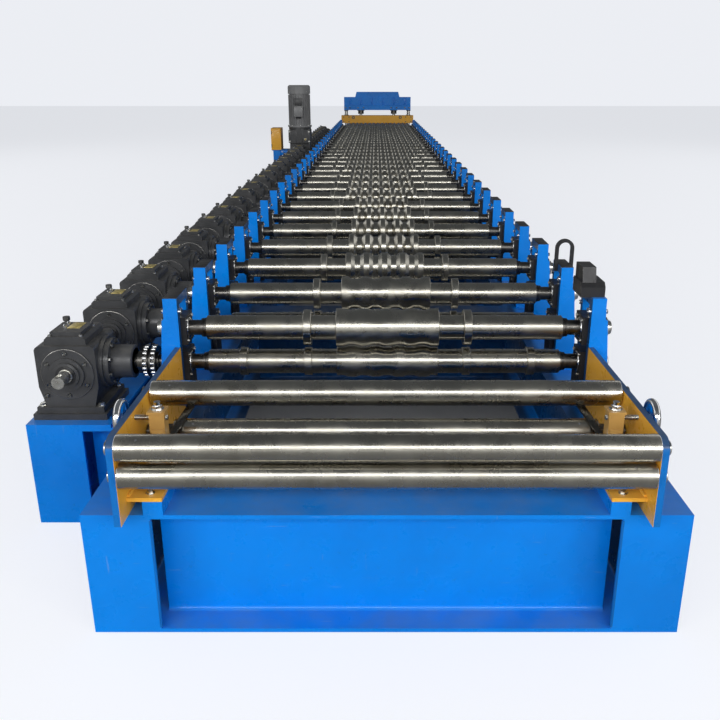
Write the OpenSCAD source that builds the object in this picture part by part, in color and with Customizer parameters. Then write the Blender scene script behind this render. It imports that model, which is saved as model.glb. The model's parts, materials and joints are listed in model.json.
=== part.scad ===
// Roll forming machine for corrugated sheet: a welded beam base with roller stations,
// an entry unit with guide rolls, a row of right-angle gearboxes and a cut-off press.
// X runs across the machine, Y along the strip towards the exit, Z up. The floor is Z = 0.
// The origin lies on the floor under the middle of the front cross beam.

/* [Base] */
// Height of the base beams
base_h = 400; // [300:10:500]
// Width of a beam flange
flange_w = 200; // [160:10:240]
// Thickness of a beam flange
flange_t = 13; // [10:1:20]
// Thickness of a beam web
web_t = 9; // [6:1:16]
// Root fillet between a beam web and its flange
root_r = 14; // [6:1:20]
// Distance from the feet of the stands to the outer side of the base
foot_margin = 19; // [10:1:60]
// Length of base behind the last station
base_tail = 1490; // [1300:10:2000]
// Distance between cross beams
cross_pitch = 2050; // [1500:50:2500]
// Thickness of the plates that close the beam ends
end_plate_t = 12; // [8:1:20]

/* [Stations] */
// Number of forming stations
station_count = 30; // [22:1:34]
// Distance from one station to the next
station_pitch = 500; // [450:10:600]
// Distance from the origin to the first station
first_station_y = 708; // [690:1:760]
// Height of the lower shafts above the base
lower_axis_rise = 182; // [170:1:200]
// Height of the upper shafts above the lower shafts
shaft_spacing = 131; // [129:1:140]
// Sideways place of the strip's centre line
strip_x = 11; // [0:1:20]

/* [Stands] */
// Distance from the tubes on the shafts to the stands
neck_room = 88; // [80:1:110]
// Width of a stand post at its foot
post_foot_w = 88; // [80:1:110]
// Width of a stand post at its top
post_top_w = 50; // [40:1:60]
// Depth of a stand along the machine
stand_depth = 160; // [150:2:190]
// Depth of one post along the machine
post_depth = 28; // [20:1:34]
// Height of a stand above the base
stand_h = 442; // [420:1:480]
// Thickness of the foot plate under a stand
foot_t = 20; // [15:1:24]
// Thickness of the bridge that joins the two posts
bridge_t = 30; // [20:1:35]
// Width of the foot plate across the machine
foot_w = 120; // [110:1:130]
// Overhang of the foot plate in front of and behind the posts
foot_overhang = 16; // [8:1:30]
// Height of a bearing block
block_h = 104; // [90:1:116]
// Distance that a bearing block stands proud of the stand's inner face
block_proud = 20; // [10:1:30]
// Width of a bearing block across the machine
block_w = 84; // [70:1:100]
// Radius of the screw that sets the height of an upper shaft
setting_screw_r = 14; // [10:1:18]

/* [Shafts and rolls] */
// Radius of the spacer tubes on the shafts
tube_r = 45; // [40:1:48]
// Length of the tubes and rolls between the shaft shoulders
tube_l = 1296; // [1270:2:1320]
// Radius of a shaft neck beside the stand
neck_r = 28; // [24:1:32]
// Radius of a shaft journal in its bearing block
journal_r = 25; // [20:1:30]
// Radius of the collars on the neck
collar_r = 36; // [32:1:42]
// Radius of the lock nut on a shaft end
lock_nut_r = 33; // [30:1:40]
// Width of the lock nut on a shaft end
lock_nut_w = 18; // [12:1:25]
// Mean radius of a lower forming roll
lower_roll_r = 56; // [54:1:57]
// Gap left between a lower and an upper forming roll
roll_gap = 8; // [7:0.5:10]
// Distance between two crowns of the corrugation
wave_pitch = 87; // [80:1:92]
// Sideways run of a corrugation flank
flank_run = 18; // [14:1:22]
// Half the depth of the corrugation at the first station
wave_start = 2.5; // [1:0.5:4]
// Half the depth of the corrugation where it is fully formed
wave_full = 10; // [6:0.5:10]
// Growth of the half depth from one station to the next
wave_growth = 1.8; // [1:0.1:2.5]
// Plain land at each side of a set of forming rolls
roll_land = 13; // [6:1:18]
// Width of a guide ring on a shaft
ring_w = 29; // [20:1:36]
// Distance from the forming rolls to the inner guide rings
ring_gap = 105; // [90:1:110]
// Distance from the strip's centre line to the outer guide rings of the first lower shaft
outer_ring_x = 530; // [480:2:600]
// Height of a guide ring above the tube
ring_rise = 7; // [4:1:9]

/* [Entry unit] */
// Distance that the entry plates stand inside the stands
entry_step = 1; // [0:1:20]
// Thickness of the entry plates
entry_plate_t = 20; // [12:1:25]
// Overhang of the entry plates in front of the base
entry_overhang = 64; // [50:1:80]
// Height of the entry plates above the base
entry_plate_h = 262; // [258:1:275]
// Radius of the entry plates' front top corner
entry_corner_r = 40; // [20:1:50]
// Radius of the front rolls and of the rear lower roll
guide_roll_r = 38; // [34:1:39]
// Radius of the rear upper roll
rear_roll_r = 40; // [36:1:42]
// Gap at each end of an entry roll
roll_end_gap = 5; // [5:1:10]
// Radius of the entry roll journals
entry_journal_r = 10; // [8:1:12]
// Height of the front lower roll above the base
front_lower_rise = 150; // [146:1:156]
// Distance between the front lower and the front upper roll axes
front_roll_spacing = 82; // [80:1:86]
// Distance of the front rolls' axes in front of the base
front_roll_reach = 43; // [36:1:50]
// Height of the rear upper roll above the base
rear_upper_rise = 244; // [240:1:248]
// Distance of the rear upper roll behind the base's front face
rear_upper_y = 328; // [300:1:360]
// Distance of the rear lower roll behind the base's front face
rear_lower_y = 250; // [236:1:262]
// Length of the neck at each end of the rear lower roll
rear_lower_neck = 82; // [60:1:100]
// Length of the orange feet and the blocks under them
entry_foot_l = 350; // [250:10:400]
// Height of the blocks under the entry unit's feet
entry_block_h = 43; // [30:1:60]
// Width of the blocks under the entry unit's feet
entry_block_w = 57; // [40:1:70]
// Reach of the entry unit's feet from its plates
entry_foot_reach = 99; // [90:1:110]
// Thickness of the entry unit's feet
entry_foot_t = 12; // [8:1:16]

/* [Side guides] */
// Distance of the side guides behind the base's front face
guide_y = 150; // [130:1:180]
// Height of the adjusting screws above the base
guide_screw_rise = 238; // [230:1:244]
// Radius of the adjusting screws
guide_screw_r = 8; // [6:1:10]
// Distance of the side guides from the entry plates
guide_inset = 46; // [40:1:90]
// Width of a side guide across the machine
guide_w = 44; // [30:1:50]
// Depth of a side guide along the machine
guide_depth = 44; // [36:1:60]
// Height of the guide bar's underside above the base
guide_bar_rise = 100; // [80:1:120]
// Height of the guide bar
guide_bar_h = 20; // [12:1:30]
// Depth of the guide bar
guide_bar_depth = 50; // [40:1:60]
// Outer radius of a handwheel
wheel_r = 56; // [45:1:70]
// Width of a handwheel rim
wheel_rim_w = 16; // [10:1:20]
// Radial thickness of a handwheel rim
wheel_rim_t = 9; // [6:1:14]
// Distance of a handwheel from its entry plate
wheel_gap = 12; // [6:1:20]

/* [Gearboxes] */
// Distance from the base to the line shaft
drive_gap = 266; // [262:1:290]
// Height of the line shaft above the bench
line_shaft_rise = 172; // [165:1:182]
// Radius of the line shaft
line_shaft_r = 25; // [24:0.5:27]
// Radius of the line shaft's free stub in front of the first gearbox
line_stub_r = 22.5; // [18:0.5:23]
// Length of the line shaft's free stub
line_stub_l = 71; // [50:1:90]
// Sideways distance from the line shaft to the middle of its gearboxes
shaft_offset = 3; // [0:1:12]
// Outer radius of a line shaft coupling
line_coupling_r = 44; // [36:1:50]
// Length of a line shaft coupling
line_coupling_l = 96; // [70:1:104]
// Length and width of a gearbox foot
box_foot = 268; // [256:2:290]
// Height of a gearbox foot
box_foot_h = 45; // [36:1:50]
// Width of a gearbox body
box_w = 216; // [206:2:240]
// Depth of a gearbox body
box_depth = 226; // [200:2:236]
// Height of a gearbox body above the bench
box_h = 275; // [265:1:290]
// Radius of a gearbox body's top edges
box_edge_r = 18; // [10:1:30]
// Radius of the round covers on a gearbox's front and back
box_cover_r = 95; // [88:1:98]
// Height of a gearbox's top cover
top_cover_h = 44; // [30:1:50]
// Distance of a gearbox's top cover from the sides of the body
top_cover_inset = 34; // [24:1:44]
// Radius of the breather on a gearbox's top cover
breather_r = 13; // [9:1:16]
// Radius of a gearbox's output flange
out_flange_r = 96; // [90:1:98]
// Thickness of a gearbox's output flange
out_flange_t = 33; // [24:1:40]
// Radius of a gearbox's output neck
out_neck_r = 62; // [56:1:68]
// Length of a gearbox's output neck
out_neck_l = 78; // [70:1:84]
// Distance from the gearbox feet to the outer side of the bench
bench_lip = 13; // [5:1:30]
// Width of the bench's top plate
bench_plate_w = 306; // [290:2:320]
// Thickness of the bench's top plate
bench_plate_t = 12; // [8:1:20]
// Length of bench in front of and behind the row of gearboxes
bench_margin = 44; // [30:1:80]
// Distance between the ties that join the bench to the base
tie_pitch = 2000; // [1500:50:2500]
// Outer radius of a chain coupling
chain_r = 62; // [56:1:66]
// Width of a chain coupling
chain_w = 70; // [60:1:76]

/* [Main drive] */
// Number of the bay that the main drive stands in
drive_bay = 19; // [8:1:20]
// Height of the reducer above the bench
reducer_h = 567; // [520:1:600]
// Width of the reducer across the machine
reducer_w = 310; // [280:2:320]
// Depth of the reducer above the gearboxes
reducer_depth = 330; // [300:2:360]
// Depth of the reducer's pedestal between two gearboxes
pedestal_depth = 190; // [150:2:200]
// Height of the reducer's pedestal above the bench
pedestal_h = 350; // [346:1:365]
// Radius of the motor
motor_r = 160; // [130:1:170]
// Height of the motor
motor_h = 577; // [500:1:620]
// Radius of the motor's fixing flange
motor_flange_r = 172; // [165:1:180]
// Number of cooling ribs round the motor
motor_ribs = 24; // [16:1:30]
// Width of the motor's terminal box
terminal_w = 120; // [90:2:140]
// Depth of the motor's terminal box
terminal_depth = 62; // [50:1:80]
// Height of the motor's terminal box
terminal_h = 130; // [100:2:160]
// Width of the chain guard beside the drive
guard_w = 140; // [110:2:150]
// Depth of the chain guard along the machine
guard_depth = 300; // [240:5:340]
// Height of the chain guard
guard_h = 302; // [260:2:340]
// Height of the chain guard's underside above the base
guard_rise = 251; // [240:1:280]
// Distance from the bench to the outer side of the chain guard
guard_reach = 261; // [250:1:290]
// Thickness of the plates of the guard's bracket
bracket_t = 12; // [8:1:16]

/* [Cut-off press] */
// Distance of the press behind the last station
press_offset = 892; // [860:1:1000]
// Distance of the press's ends inside the base's sides
press_inset = 90; // [80:1:110]
// Depth of the press along the machine
press_depth = 240; // [220:2:300]
// Width of a side pillar of the press frame
pillar_w = 120; // [90:2:150]
// Height of the lower die block
die_block_h = 112; // [90:1:140]
// Depth of the knives along the machine
knife_depth = 60; // [40:2:80]
// Height of the opening for the formed sheet
slot_h = 80; // [76:1:90]
// Stroke of the blade
blade_stroke = 70; // [50:1:70]
// Height of the bar that holds the upper knife
blade_bar_h = 158; // [130:1:180]
// Distance that the upper knife reaches below its bar
knife_drop = 32; // [24:1:44]
// Gap between the raised blade holder and the top beam
lift_gap = 113; // [108:1:130]
// Width that the top beam leaves free at each end of the press
top_beam_inset = 62; // [40:1:80]
// Height of the top beam's lower flange
beam_flange_h = 99; // [60:1:110]
// Height of the top beam's web
beam_web_h = 169; // [120:1:200]
// Height of the cover on the top beam
beam_cover_h = 107; // [60:1:130]
// Width of the cover on the top beam
beam_cover_w = 964; // [800:2:1100]
// Radius of the press guide posts
guide_post_r = 30; // [24:1:32]
// Distance of the guide posts from the ends of the press
guide_post_inset = 105; // [98:1:112]
// Radius of the press cylinders
cylinder_r = 62; // [50:1:75]
// Distance of the press cylinders from the ends of the press
cylinder_inset = 425; // [350:5:480]

/* [Fits] */
// Radial play of an entry roll or a handwheel screw in its hole
running_gap = 0.1; // [0.05:0.01:0.1]
// Radial play of a shaft in a bearing block or a gearbox
shaft_gap = 0.6; // [0.55:0.05:0.8]
// Gap between pieces that sit side by side
seat_gap = 0.3; // [0.2:0.05:0.5]

/* [Hidden] */
$fn = 48;

paint_blue = "#0a6fd0";
paint_orange = "#c98514";
cast_grey = "#3c3d40";
block_black = "#1c1d20";
roll_steel = "#a39d8e";
bright_steel = "#c9c9c6";
motor_grey = "#5d6064";

front_y = -flange_w / 2;
jointed_stations = 6;
last_station_y = first_station_y + (station_count - 1) * station_pitch;
base_end_y = last_station_y + base_tail;
tube_x = tube_l / 2;
stand_x = tube_x + neck_room;
base_w = 2 * (stand_x + foot_w + foot_margin);
beam_x = (base_w - flange_w) / 2;
lower_z = base_h + lower_axis_rise;
upper_z = lower_z + shaft_spacing;
stand_top = base_h + stand_h;
window_depth = stand_depth - 2 * post_depth;
block_x0 = stand_x - block_proud;
block_x1 = block_x0 + block_w;
shaft_end_x = block_x1 + 30;
upper_roll_r = shaft_spacing - roll_gap - lower_roll_r;

line_shaft_x = base_w / 2 + drive_gap;
line_z = base_h + line_shaft_rise;
box_mid_x = line_shaft_x + shaft_offset;
out_face_x = box_mid_x - box_w / 2;
out_end_x = out_face_x - out_flange_t - out_neck_l;
cover_proud = 22;
stub_y = first_station_y - box_depth / 2 - cover_proud - 4;
bench_outer_x = box_mid_x + box_foot / 2 + bench_lip;
bench_beam_x = bench_outer_x - flange_w / 2;
bench_y0 = first_station_y - box_foot / 2 - bench_margin;
bench_y1 = last_station_y + box_foot / 2 + bench_margin;
drive_y = first_station_y + (drive_bay - 0.5) * station_pitch;
motor_z = base_h + reducer_h;

entry_x = stand_x - entry_step;
entry_y0 = front_y - entry_overhang;
entry_y1 = first_station_y - stand_depth / 2;
entry_top = base_h + entry_plate_h;
front_roll_y = front_y - front_roll_reach;
front_lower_z = base_h + front_lower_rise;
front_upper_z = front_lower_z + front_roll_spacing;
entry_roll_x = entry_x - roll_end_gap;
guide_mid_y = front_y + guide_y;
guide_screw_z = base_h + guide_screw_rise;
guide_bar_z = base_h + guide_bar_rise;
guide_x = entry_x - guide_inset;

press_y = last_station_y + press_offset;
press_x = base_w / 2 - press_inset;
strip_z = lower_z + lower_roll_r;
die_top_z = strip_z - wave_full - 14;
die_z = die_top_z - die_block_h;
knife_z = strip_z + slot_h;
blade_z = knife_z + knife_drop;
blade_top_z = blade_z + blade_bar_h;
top_beam_z = blade_top_z + lift_gap;
top_beam_x = press_x - top_beam_inset;
guide_post_x = press_x - guide_post_inset;
guide_post_dy = press_depth / 2 - 45;
cylinder_x = press_x - cylinder_inset;
cylinder_z = blade_top_z + 32;
rod_r = guide_post_r;

function station_y(i) = first_station_y + (i - 1) * station_pitch;

// Number of formed crowns at a station: the bend spreads outwards down the machine
function crowns(i) = i <= 7 ? 4 : i <= 11 ? 6 : i <= 14 ? 8 : i <= 17 ? 10 : 14;

// Half the depth of the corrugation at a station
function wave_half(i) = min(wave_full, wave_start + (i - 1) * wave_growth);

// Half the width of the set of forming rolls at a station
function roll_half(i) = crowns(i) * wave_pitch / 2 + roll_land;

function crown_x(k, n) = (k - (n - 1) / 2) * wave_pitch;

// Outline of the forming rolls: half depths are added for a crown and taken off for a groove
function wave_line(i, mean_r, half) = [
    for (k = [0 : crowns(i) - 1])
        for (s = [[-1, 1, -1], [-1, -1, 1], [1, -1, 1], [1, 1, -1]])
            [mean_r + s[2] * half,
             strip_x + crown_x(k, crowns(i)) + s[0] * wave_pitch / 4 + s[1] * s[0] * flank_run / 2]
];

function ring_line(x, r) = [
    [tube_r, x - ring_w / 2], [r, x - ring_w / 2], [r, x + ring_w / 2], [tube_r, x + ring_w / 2]
];

function has_rings(i) = roll_half(i) + ring_gap + ring_w < tube_x;

// Outline of a shaft's right end, from the tube's shoulder outwards
end_line = [
    [tube_r, tube_x], [collar_r, tube_x], [collar_r, tube_x + 9], [neck_r + 2, tube_x + 9],
    [neck_r + 2, tube_x + 13], [collar_r - 2, tube_x + 13], [collar_r - 2, tube_x + 21],
    [neck_r, tube_x + 21], [neck_r, block_x0 - 4], [journal_r, block_x0 - 4],
    [journal_r, block_x1 + seat_gap], [lock_nut_r, block_x1 + seat_gap],
    [lock_nut_r, block_x1 + lock_nut_w], [journal_r, block_x1 + lock_nut_w],
    [journal_r, shaft_end_x], [0, shaft_end_x]
];

// The same end on the left, run from the outside inwards
mirrored_end_line = [
    for (j = [len(end_line) - 1 : -1 : 0]) [end_line[j][0], -end_line[j][1]]
];

// Left end of a lower shaft: it goes on through the chain coupling into the gearbox neck
drive_end_line = concat(
    [
        [0, -out_end_x - 36], [journal_r, -out_end_x - 36],
        [journal_r, -out_end_x + 12], [neck_r + 10, -out_end_x + 12]
    ],
    chain_line(-shaft_end_x - chain_w, -shaft_end_x),
    [[journal_r, -shaft_end_x], [journal_r, -block_x1 - lock_nut_w]],
    [for (p = mirrored_end_line) if (p[0] > 0 && p[1] > -block_x1 - lock_nut_w - 1) p]
);

// A double-strand chain coupling: two toothed rims with a groove beside each strand
function chain_line(x0, x1) = [
    [neck_r + 10, x0], [chain_r - 12, x0 + 4], [chain_r - 12, x0 + 8], [chain_r, x0 + 8],
    [chain_r, (x0 + x1) / 2 - 4], [chain_r - 12, (x0 + x1) / 2 - 4],
    [chain_r - 12, (x0 + x1) / 2 + 4], [chain_r, (x0 + x1) / 2 + 4],
    [chain_r, x1 - 8], [chain_r - 12, x1 - 8], [chain_r - 12, x1 - 4], [journal_r, x1 - 4]
];

// The middle of a shaft: tube, guide rings and forming rolls
function middle_line(i, mean_r, half, ring_r, has_outer) = concat(
    [[tube_r, -tube_x]],
    has_outer ? ring_line(strip_x - outer_ring_x, ring_r) : [],
    has_rings(i) ? ring_line(strip_x - roll_half(i) - ring_gap, ring_r) : [],
    [[tube_r, strip_x - roll_half(i)], [mean_r - half, strip_x - roll_half(i)]],
    wave_line(i, mean_r, half),
    [[mean_r - half, strip_x + roll_half(i)], [tube_r, strip_x + roll_half(i)]],
    has_rings(i) ? ring_line(strip_x + roll_half(i) + ring_gap, ring_r) : [],
    has_outer ? ring_line(strip_x + outer_ring_x, ring_r) : []
);

module blue() { color(paint_blue) children(); }
module orange() { color(paint_orange) children(); }

// Draws an outline of [Y, Z] points and runs it across the machine
module across(x0, x1) {
    translate([x0, 0, 0]) rotate([90, 0, 90]) linear_extrude(x1 - x0) children();
}

// Draws an outline of [X, Z] points and runs it along the machine
module lengthwise(y0, y1) {
    translate([0, y1, 0]) rotate([90, 0, 0]) linear_extrude(y1 - y0) children();
}

// Turns an outline of [radius, X] points about an axis that runs across the machine
module turned_across(y, z, points) {
    translate([0, y, z]) rotate([0, 90, 0]) rotate_extrude() polygon(points);
}

// A rod across the machine
module rod_across(x0, x1, y, z, r) {
    translate([x0, y, z]) rotate([0, 90, 0]) cylinder(h = x1 - x0, r = r);
}

// A rod along the machine
module rod_lengthwise(y0, y1, x, z, r) {
    translate([x, y0, z]) rotate([-90, 0, 0]) cylinder(h = y1 - y0, r = r);
}

// One side of the space between two beam flanges, with its root fillets
module flange_pocket(h, w) {
    d = (w - web_t) / 2;
    z0 = flange_t;
    z1 = h - flange_t;
    translate([web_t / 2 + root_r, z0]) square([d - root_r + 1, z1 - z0]);
    translate([web_t / 2, z0 + root_r]) square([root_r + 1, z1 - z0 - 2 * root_r]);
    for (z = [z0 + root_r, z1 - root_r]) translate([web_t / 2 + root_r, z]) circle(r = root_r);
}

// Section of a wide-flange beam, standing on the X axis
module beam_section(h, w) {
    difference() {
        translate([-w / 2, 0]) square([w, h]);
        flange_pocket(h, w);
        mirror([1, 0]) flange_pocket(h, w);
    }
}

module base_beam(x) {
    translate([x, 0, 0]) {
        lengthwise(front_y + end_plate_t, base_end_y - end_plate_t) beam_section(base_h, flange_w);
        for (y = [front_y, base_end_y - end_plate_t])
            translate([-flange_w / 2, y, 0]) cube([flange_w, end_plate_t, base_h]);
    }
}

module base_beam_left() { blue() base_beam(-beam_x); }
module base_beam_right() { blue() base_beam(beam_x); }

// Cross beams stand between the long beams, the first flush with the base's front
module base_cross_beams() {
    inner = beam_x - flange_w / 2;
    count = floor((base_end_y - flange_w / 2) / cross_pitch);
    blue() for (k = [0 : count])
        translate([0, k == count ? base_end_y - flange_w / 2 : k * cross_pitch, 0])
            across(-inner, inner) beam_section(base_h, flange_w);
}

// The bench that carries the gearboxes: a beam under a wider top plate
module gearbox_bench() {
    blue() translate([-bench_beam_x, 0, 0]) {
        lengthwise(bench_y0 + end_plate_t, bench_y1 - end_plate_t)
            beam_section(base_h - bench_plate_t, flange_w);
        for (y = [bench_y0, bench_y1 - end_plate_t])
            translate([-flange_w / 2, y, 0])
                cube([flange_w, end_plate_t, base_h - bench_plate_t]);
        translate([-flange_w / 2, bench_y0, base_h - bench_plate_t])
            cube([bench_plate_w, bench_y1 - bench_y0, bench_plate_t]);
    }
}

module bench_ties() {
    x0 = -bench_beam_x + flange_w / 2;
    count = floor((bench_y1 - bench_y0 - flange_w) / tie_pitch);
    blue() for (k = [0 : count])
        translate([0, bench_y0 + flange_w / 2 + k * tie_pitch, 0])
            across(x0, -base_w / 2) beam_section(base_h - bench_plate_t, flange_w);
}

// Side plate of the entry unit: its front top corner is rounded
module entry_plate_outline() {
    r = entry_corner_r;
    difference() {
        union() {
            translate([entry_y0, base_h]) square([entry_y1 - entry_y0, entry_plate_h - r]);
            translate([entry_y0 + r, base_h]) square([entry_y1 - entry_y0 - r, entry_plate_h]);
            translate([entry_y0 + r, entry_top - r]) circle(r = r);
        }
        for (z = [front_lower_z, front_upper_z])
            translate([front_roll_y, z]) circle(r = entry_journal_r + running_gap);
        translate([front_y + rear_upper_y, base_h + rear_upper_rise])
            circle(r = entry_journal_r + running_gap);
        translate([front_y + rear_lower_y, front_lower_z])
            circle(r = entry_journal_r + running_gap);
        translate([guide_mid_y, guide_screw_z]) circle(r = guide_screw_r + running_gap);
        // Notch round the foot plate of the first stand
        translate([entry_y1 - foot_overhang - 1, base_h - 1])
            square([foot_overhang + 2, foot_t + 2]);
    }
}

module entry_plate(side) {
    x = side > 0 ? entry_x : -entry_x - entry_plate_t;
    across(x, x + entry_plate_t) entry_plate_outline();
}

module entry_plate_left() { orange() entry_plate(-1); }
module entry_plate_right() { orange() entry_plate(1); }

// Feet that brace the entry plates on the blocks
module entry_feet() {
    orange() for (side = [-1, 1])
        translate([side > 0 ? entry_x - entry_foot_reach : -entry_x, front_y, base_h + entry_block_h])
            cube([entry_foot_reach, entry_foot_l, entry_foot_t]);
}

module entry_blocks() {
    x0 = entry_x - entry_foot_reach;
    blue() for (side = [-1, 1])
        translate([side > 0 ? x0 : -x0 - entry_block_w, front_y, base_h])
            cube([entry_block_w, entry_foot_l, entry_block_h]);
}

// An entry roll: a plain polished tube on two journals, with a neck where it is shorter
module entry_roll(y, z, r, neck) {
    body_x = entry_roll_x - neck;
    end_x = entry_x + entry_plate_t;
    right = concat(
        [[r, body_x - 2], [r - 2, body_x]],
        neck > 0 ? [[neck_r - 6, body_x], [neck_r - 6, entry_roll_x]] : [],
        [[entry_journal_r, entry_roll_x], [entry_journal_r, end_x], [0, end_x]]
    );
    left = [for (j = [len(right) - 1 : -1 : 0]) [right[j][0], -right[j][1]]];
    color(roll_steel) turned_across(y, z, concat(left, right));
}

module entry_roll_front_upper() {
    entry_roll(front_roll_y, front_upper_z, guide_roll_r, 0);
}
module entry_roll_front_lower() {
    entry_roll(front_roll_y, front_lower_z, guide_roll_r, 0);
}
module entry_roll_rear_upper() {
    entry_roll(front_y + rear_upper_y, base_h + rear_upper_rise, rear_roll_r, 0);
}
module entry_roll_rear_lower() {
    entry_roll(front_y + rear_lower_y, front_lower_z, guide_roll_r, rear_lower_neck);
}

module guide_bar() {
    color(bright_steel)
        translate([-entry_x, guide_mid_y - guide_bar_depth / 2, guide_bar_z])
            cube([2 * entry_x, guide_bar_depth, guide_bar_h]);
}

// A side guide: a bracket on the guide bar with a nut for the screw and a guide pin
module side_guide(side) {
    z0 = guide_bar_z + guide_bar_h;
    x0 = side > 0 ? guide_x - guide_w : -guide_x;
    orange() difference() {
        union() {
            translate([x0, guide_mid_y - guide_depth / 2, z0])
                cube([guide_w, guide_depth, guide_screw_z + 18 - z0]);
            translate([x0 - 4, guide_mid_y - guide_depth / 2 - 4, guide_screw_z + 18])
                cube([guide_w + 8, guide_depth + 8, 8]);
            translate([x0 + guide_w / 2, guide_mid_y, guide_screw_z + 26])
                cylinder(h = 24, r = 9);
        }
        rod_across(x0 - 1, x0 + guide_w + 1, guide_mid_y, guide_screw_z,
            guide_screw_r + running_gap);
    }
}

module side_guide_left() { side_guide(-1); }
module side_guide_right() { side_guide(1); }

// A handwheel with its screw, drawn for the right-hand side
module handwheel_turned() {
    x0 = entry_x + entry_plate_t + wheel_gap;
    inner = wheel_r - wheel_rim_t;
    turned_across(guide_mid_y, guide_screw_z, [
        [0, guide_x - guide_w - 6], [guide_screw_r, guide_x - guide_w - 6],
        [guide_screw_r, x0 - 8], [16, x0 - 8], [16, x0 + 4], [inner, x0 + 4],
        [inner, x0], [wheel_r - 3, x0], [wheel_r, x0 + 3], [wheel_r, x0 + wheel_rim_w - 3],
        [wheel_r - 3, x0 + wheel_rim_w], [inner, x0 + wheel_rim_w], [inner, x0 + 10],
        [16, x0 + 10], [16, x0 + wheel_rim_w + 6], [0, x0 + wheel_rim_w + 6]
    ]);
}

module handwheel_right() { color(bright_steel) handwheel_turned(); }
module handwheel_left() { color(bright_steel) mirror([1, 0, 0]) handwheel_turned(); }

// Front outline of a stand post: the outer edge leans in and has a shallow notch
module post_outline() {
    notch = 8;
    lean = post_foot_w - post_top_w;
    polygon([
        [0, foot_t], [post_foot_w, foot_t],
        [post_foot_w - lean * 0.75, stand_h - 82], [post_foot_w - lean * 0.75 - notch, stand_h - 74],
        [post_foot_w - lean * 0.75 - notch, stand_h - 48], [post_top_w, stand_h - 40],
        [post_top_w, stand_h], [0, stand_h]
    ]);
}

// A stand: two posts on a foot plate, joined at the top by a bridge
module stand() {
    half = stand_depth / 2;
    difference() {
        union() {
            for (y = [-half, half - post_depth]) lengthwise(y, y + post_depth) post_outline();
            translate([0, -half - foot_overhang, 0])
                cube([foot_w, stand_depth + 2 * foot_overhang, foot_t]);
            translate([0, -half, stand_h - bridge_t]) cube([post_top_w, stand_depth, bridge_t]);
        }
        translate([post_top_w / 2, 0, stand_h - bridge_t - 1])
            cylinder(h = bridge_t + 2, r = setting_screw_r + seat_gap);
    }
}

module stands_right() {
    blue() for (i = [1 : station_count])
        translate([stand_x, station_y(i), base_h]) stand();
}

module stands_left() {
    blue() mirror([1, 0, 0]) for (i = [1 : station_count])
        translate([stand_x, station_y(i), base_h]) stand();
}

// Bearing blocks of one stand: the lower block stands on the foot, the upper hangs on its screw
module bearing_pair() {
    depth = window_depth - 2 * seat_gap;
    for (b = [[base_h + foot_t, lower_z + block_h / 2, lower_z],
              [upper_z - block_h / 2, upper_z + block_h / 2, upper_z]])
        difference() {
            translate([block_x0, -depth / 2, b[0]]) cube([block_w, depth, b[1] - b[0]]);
            rod_across(block_x0 - 1, block_x1 + 1, 0, b[2], journal_r + shaft_gap);
        }
}

module bearing_blocks_right() {
    color(block_black) for (i = [1 : station_count])
        translate([0, station_y(i), 0]) bearing_pair();
}

module bearing_blocks_left() {
    color(block_black) mirror([1, 0, 0]) for (i = [1 : station_count])
        translate([0, station_y(i), 0]) bearing_pair();
}

// Setting screws press on the upper bearing blocks and end just below the top of the bridge
module setting_screws() {
    z0 = upper_z + block_h / 2;
    color(bright_steel) for (side = [-1, 1]) for (i = [1 : station_count])
        translate([side * (stand_x + post_top_w / 2), station_y(i), z0])
            cylinder(h = stand_top - z0 - 2, r = setting_screw_r);
}

// Cap on the first right stand: a low box with a sloping front edge and a taller rear part
module stand_cap() {
    back = 60;
    front = 60;
    low = 52;
    high = 104;
    color(block_black) translate([0, station_y(1), stand_top]) {
        across(stand_x - 40, stand_x + post_top_w - 4) polygon([
            [-front, 0], [back, 0], [back, low], [16 - front, low], [-front, low - 16]
        ]);
        across(stand_x - 34, stand_x + 14) polygon([
            [10 - front, low - 1], [back, low - 1], [back, high], [26 - front, high]
        ]);
    }
}

// A strap over the top of the second stand, its legs beside the bridge
module lifting_loop() {
    inner = post_top_w / 2 + seat_gap;
    strap_t = 13;
    leg_z = stand_top - bridge_t;
    arch_z = stand_top + 66;
    color(block_black) translate([stand_x + post_top_w / 2, 0, 0])
        lengthwise(station_y(2) - 10, station_y(2) + 10) difference() {
            union() {
                translate([0, arch_z]) circle(r = inner + strap_t);
                translate([-inner - strap_t, leg_z])
                    square([2 * (inner + strap_t), arch_z - leg_z]);
            }
            translate([0, arch_z]) circle(r = inner);
            translate([-inner, leg_z - 1]) square([2 * inner, arch_z - leg_z + 1]);
        }
}

module lower_shaft(i) {
    color(roll_steel) turned_across(station_y(i), lower_z, concat(
        drive_end_line,
        middle_line(i, lower_roll_r, wave_half(i), tube_r + ring_rise, i == 1),
        end_line
    ));
}

module upper_shaft(i) {
    color(roll_steel) turned_across(station_y(i), upper_z, concat(
        mirrored_end_line,
        middle_line(i, upper_roll_r, -wave_half(i), upper_roll_r - 2, false),
        end_line
    ));
}

module lower_shaft_1() { lower_shaft(1); }
module lower_shaft_2() { lower_shaft(2); }
module lower_shaft_3() { lower_shaft(3); }
module lower_shaft_4() { lower_shaft(4); }
module lower_shaft_5() { lower_shaft(5); }
module lower_shaft_6() { lower_shaft(6); }
module lower_shafts_rear() {
    for (i = [jointed_stations + 1 : station_count]) lower_shaft(i);
}
module upper_shaft_1() { upper_shaft(1); }
module upper_shaft_2() { upper_shaft(2); }
module upper_shaft_3() { upper_shaft(3); }
module upper_shaft_4() { upper_shaft(4); }
module upper_shaft_5() { upper_shaft(5); }
module upper_shaft_6() { upper_shaft(6); }
module upper_shafts_rear() {
    for (i = [jointed_stations + 1 : station_count]) upper_shaft(i);
}

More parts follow.
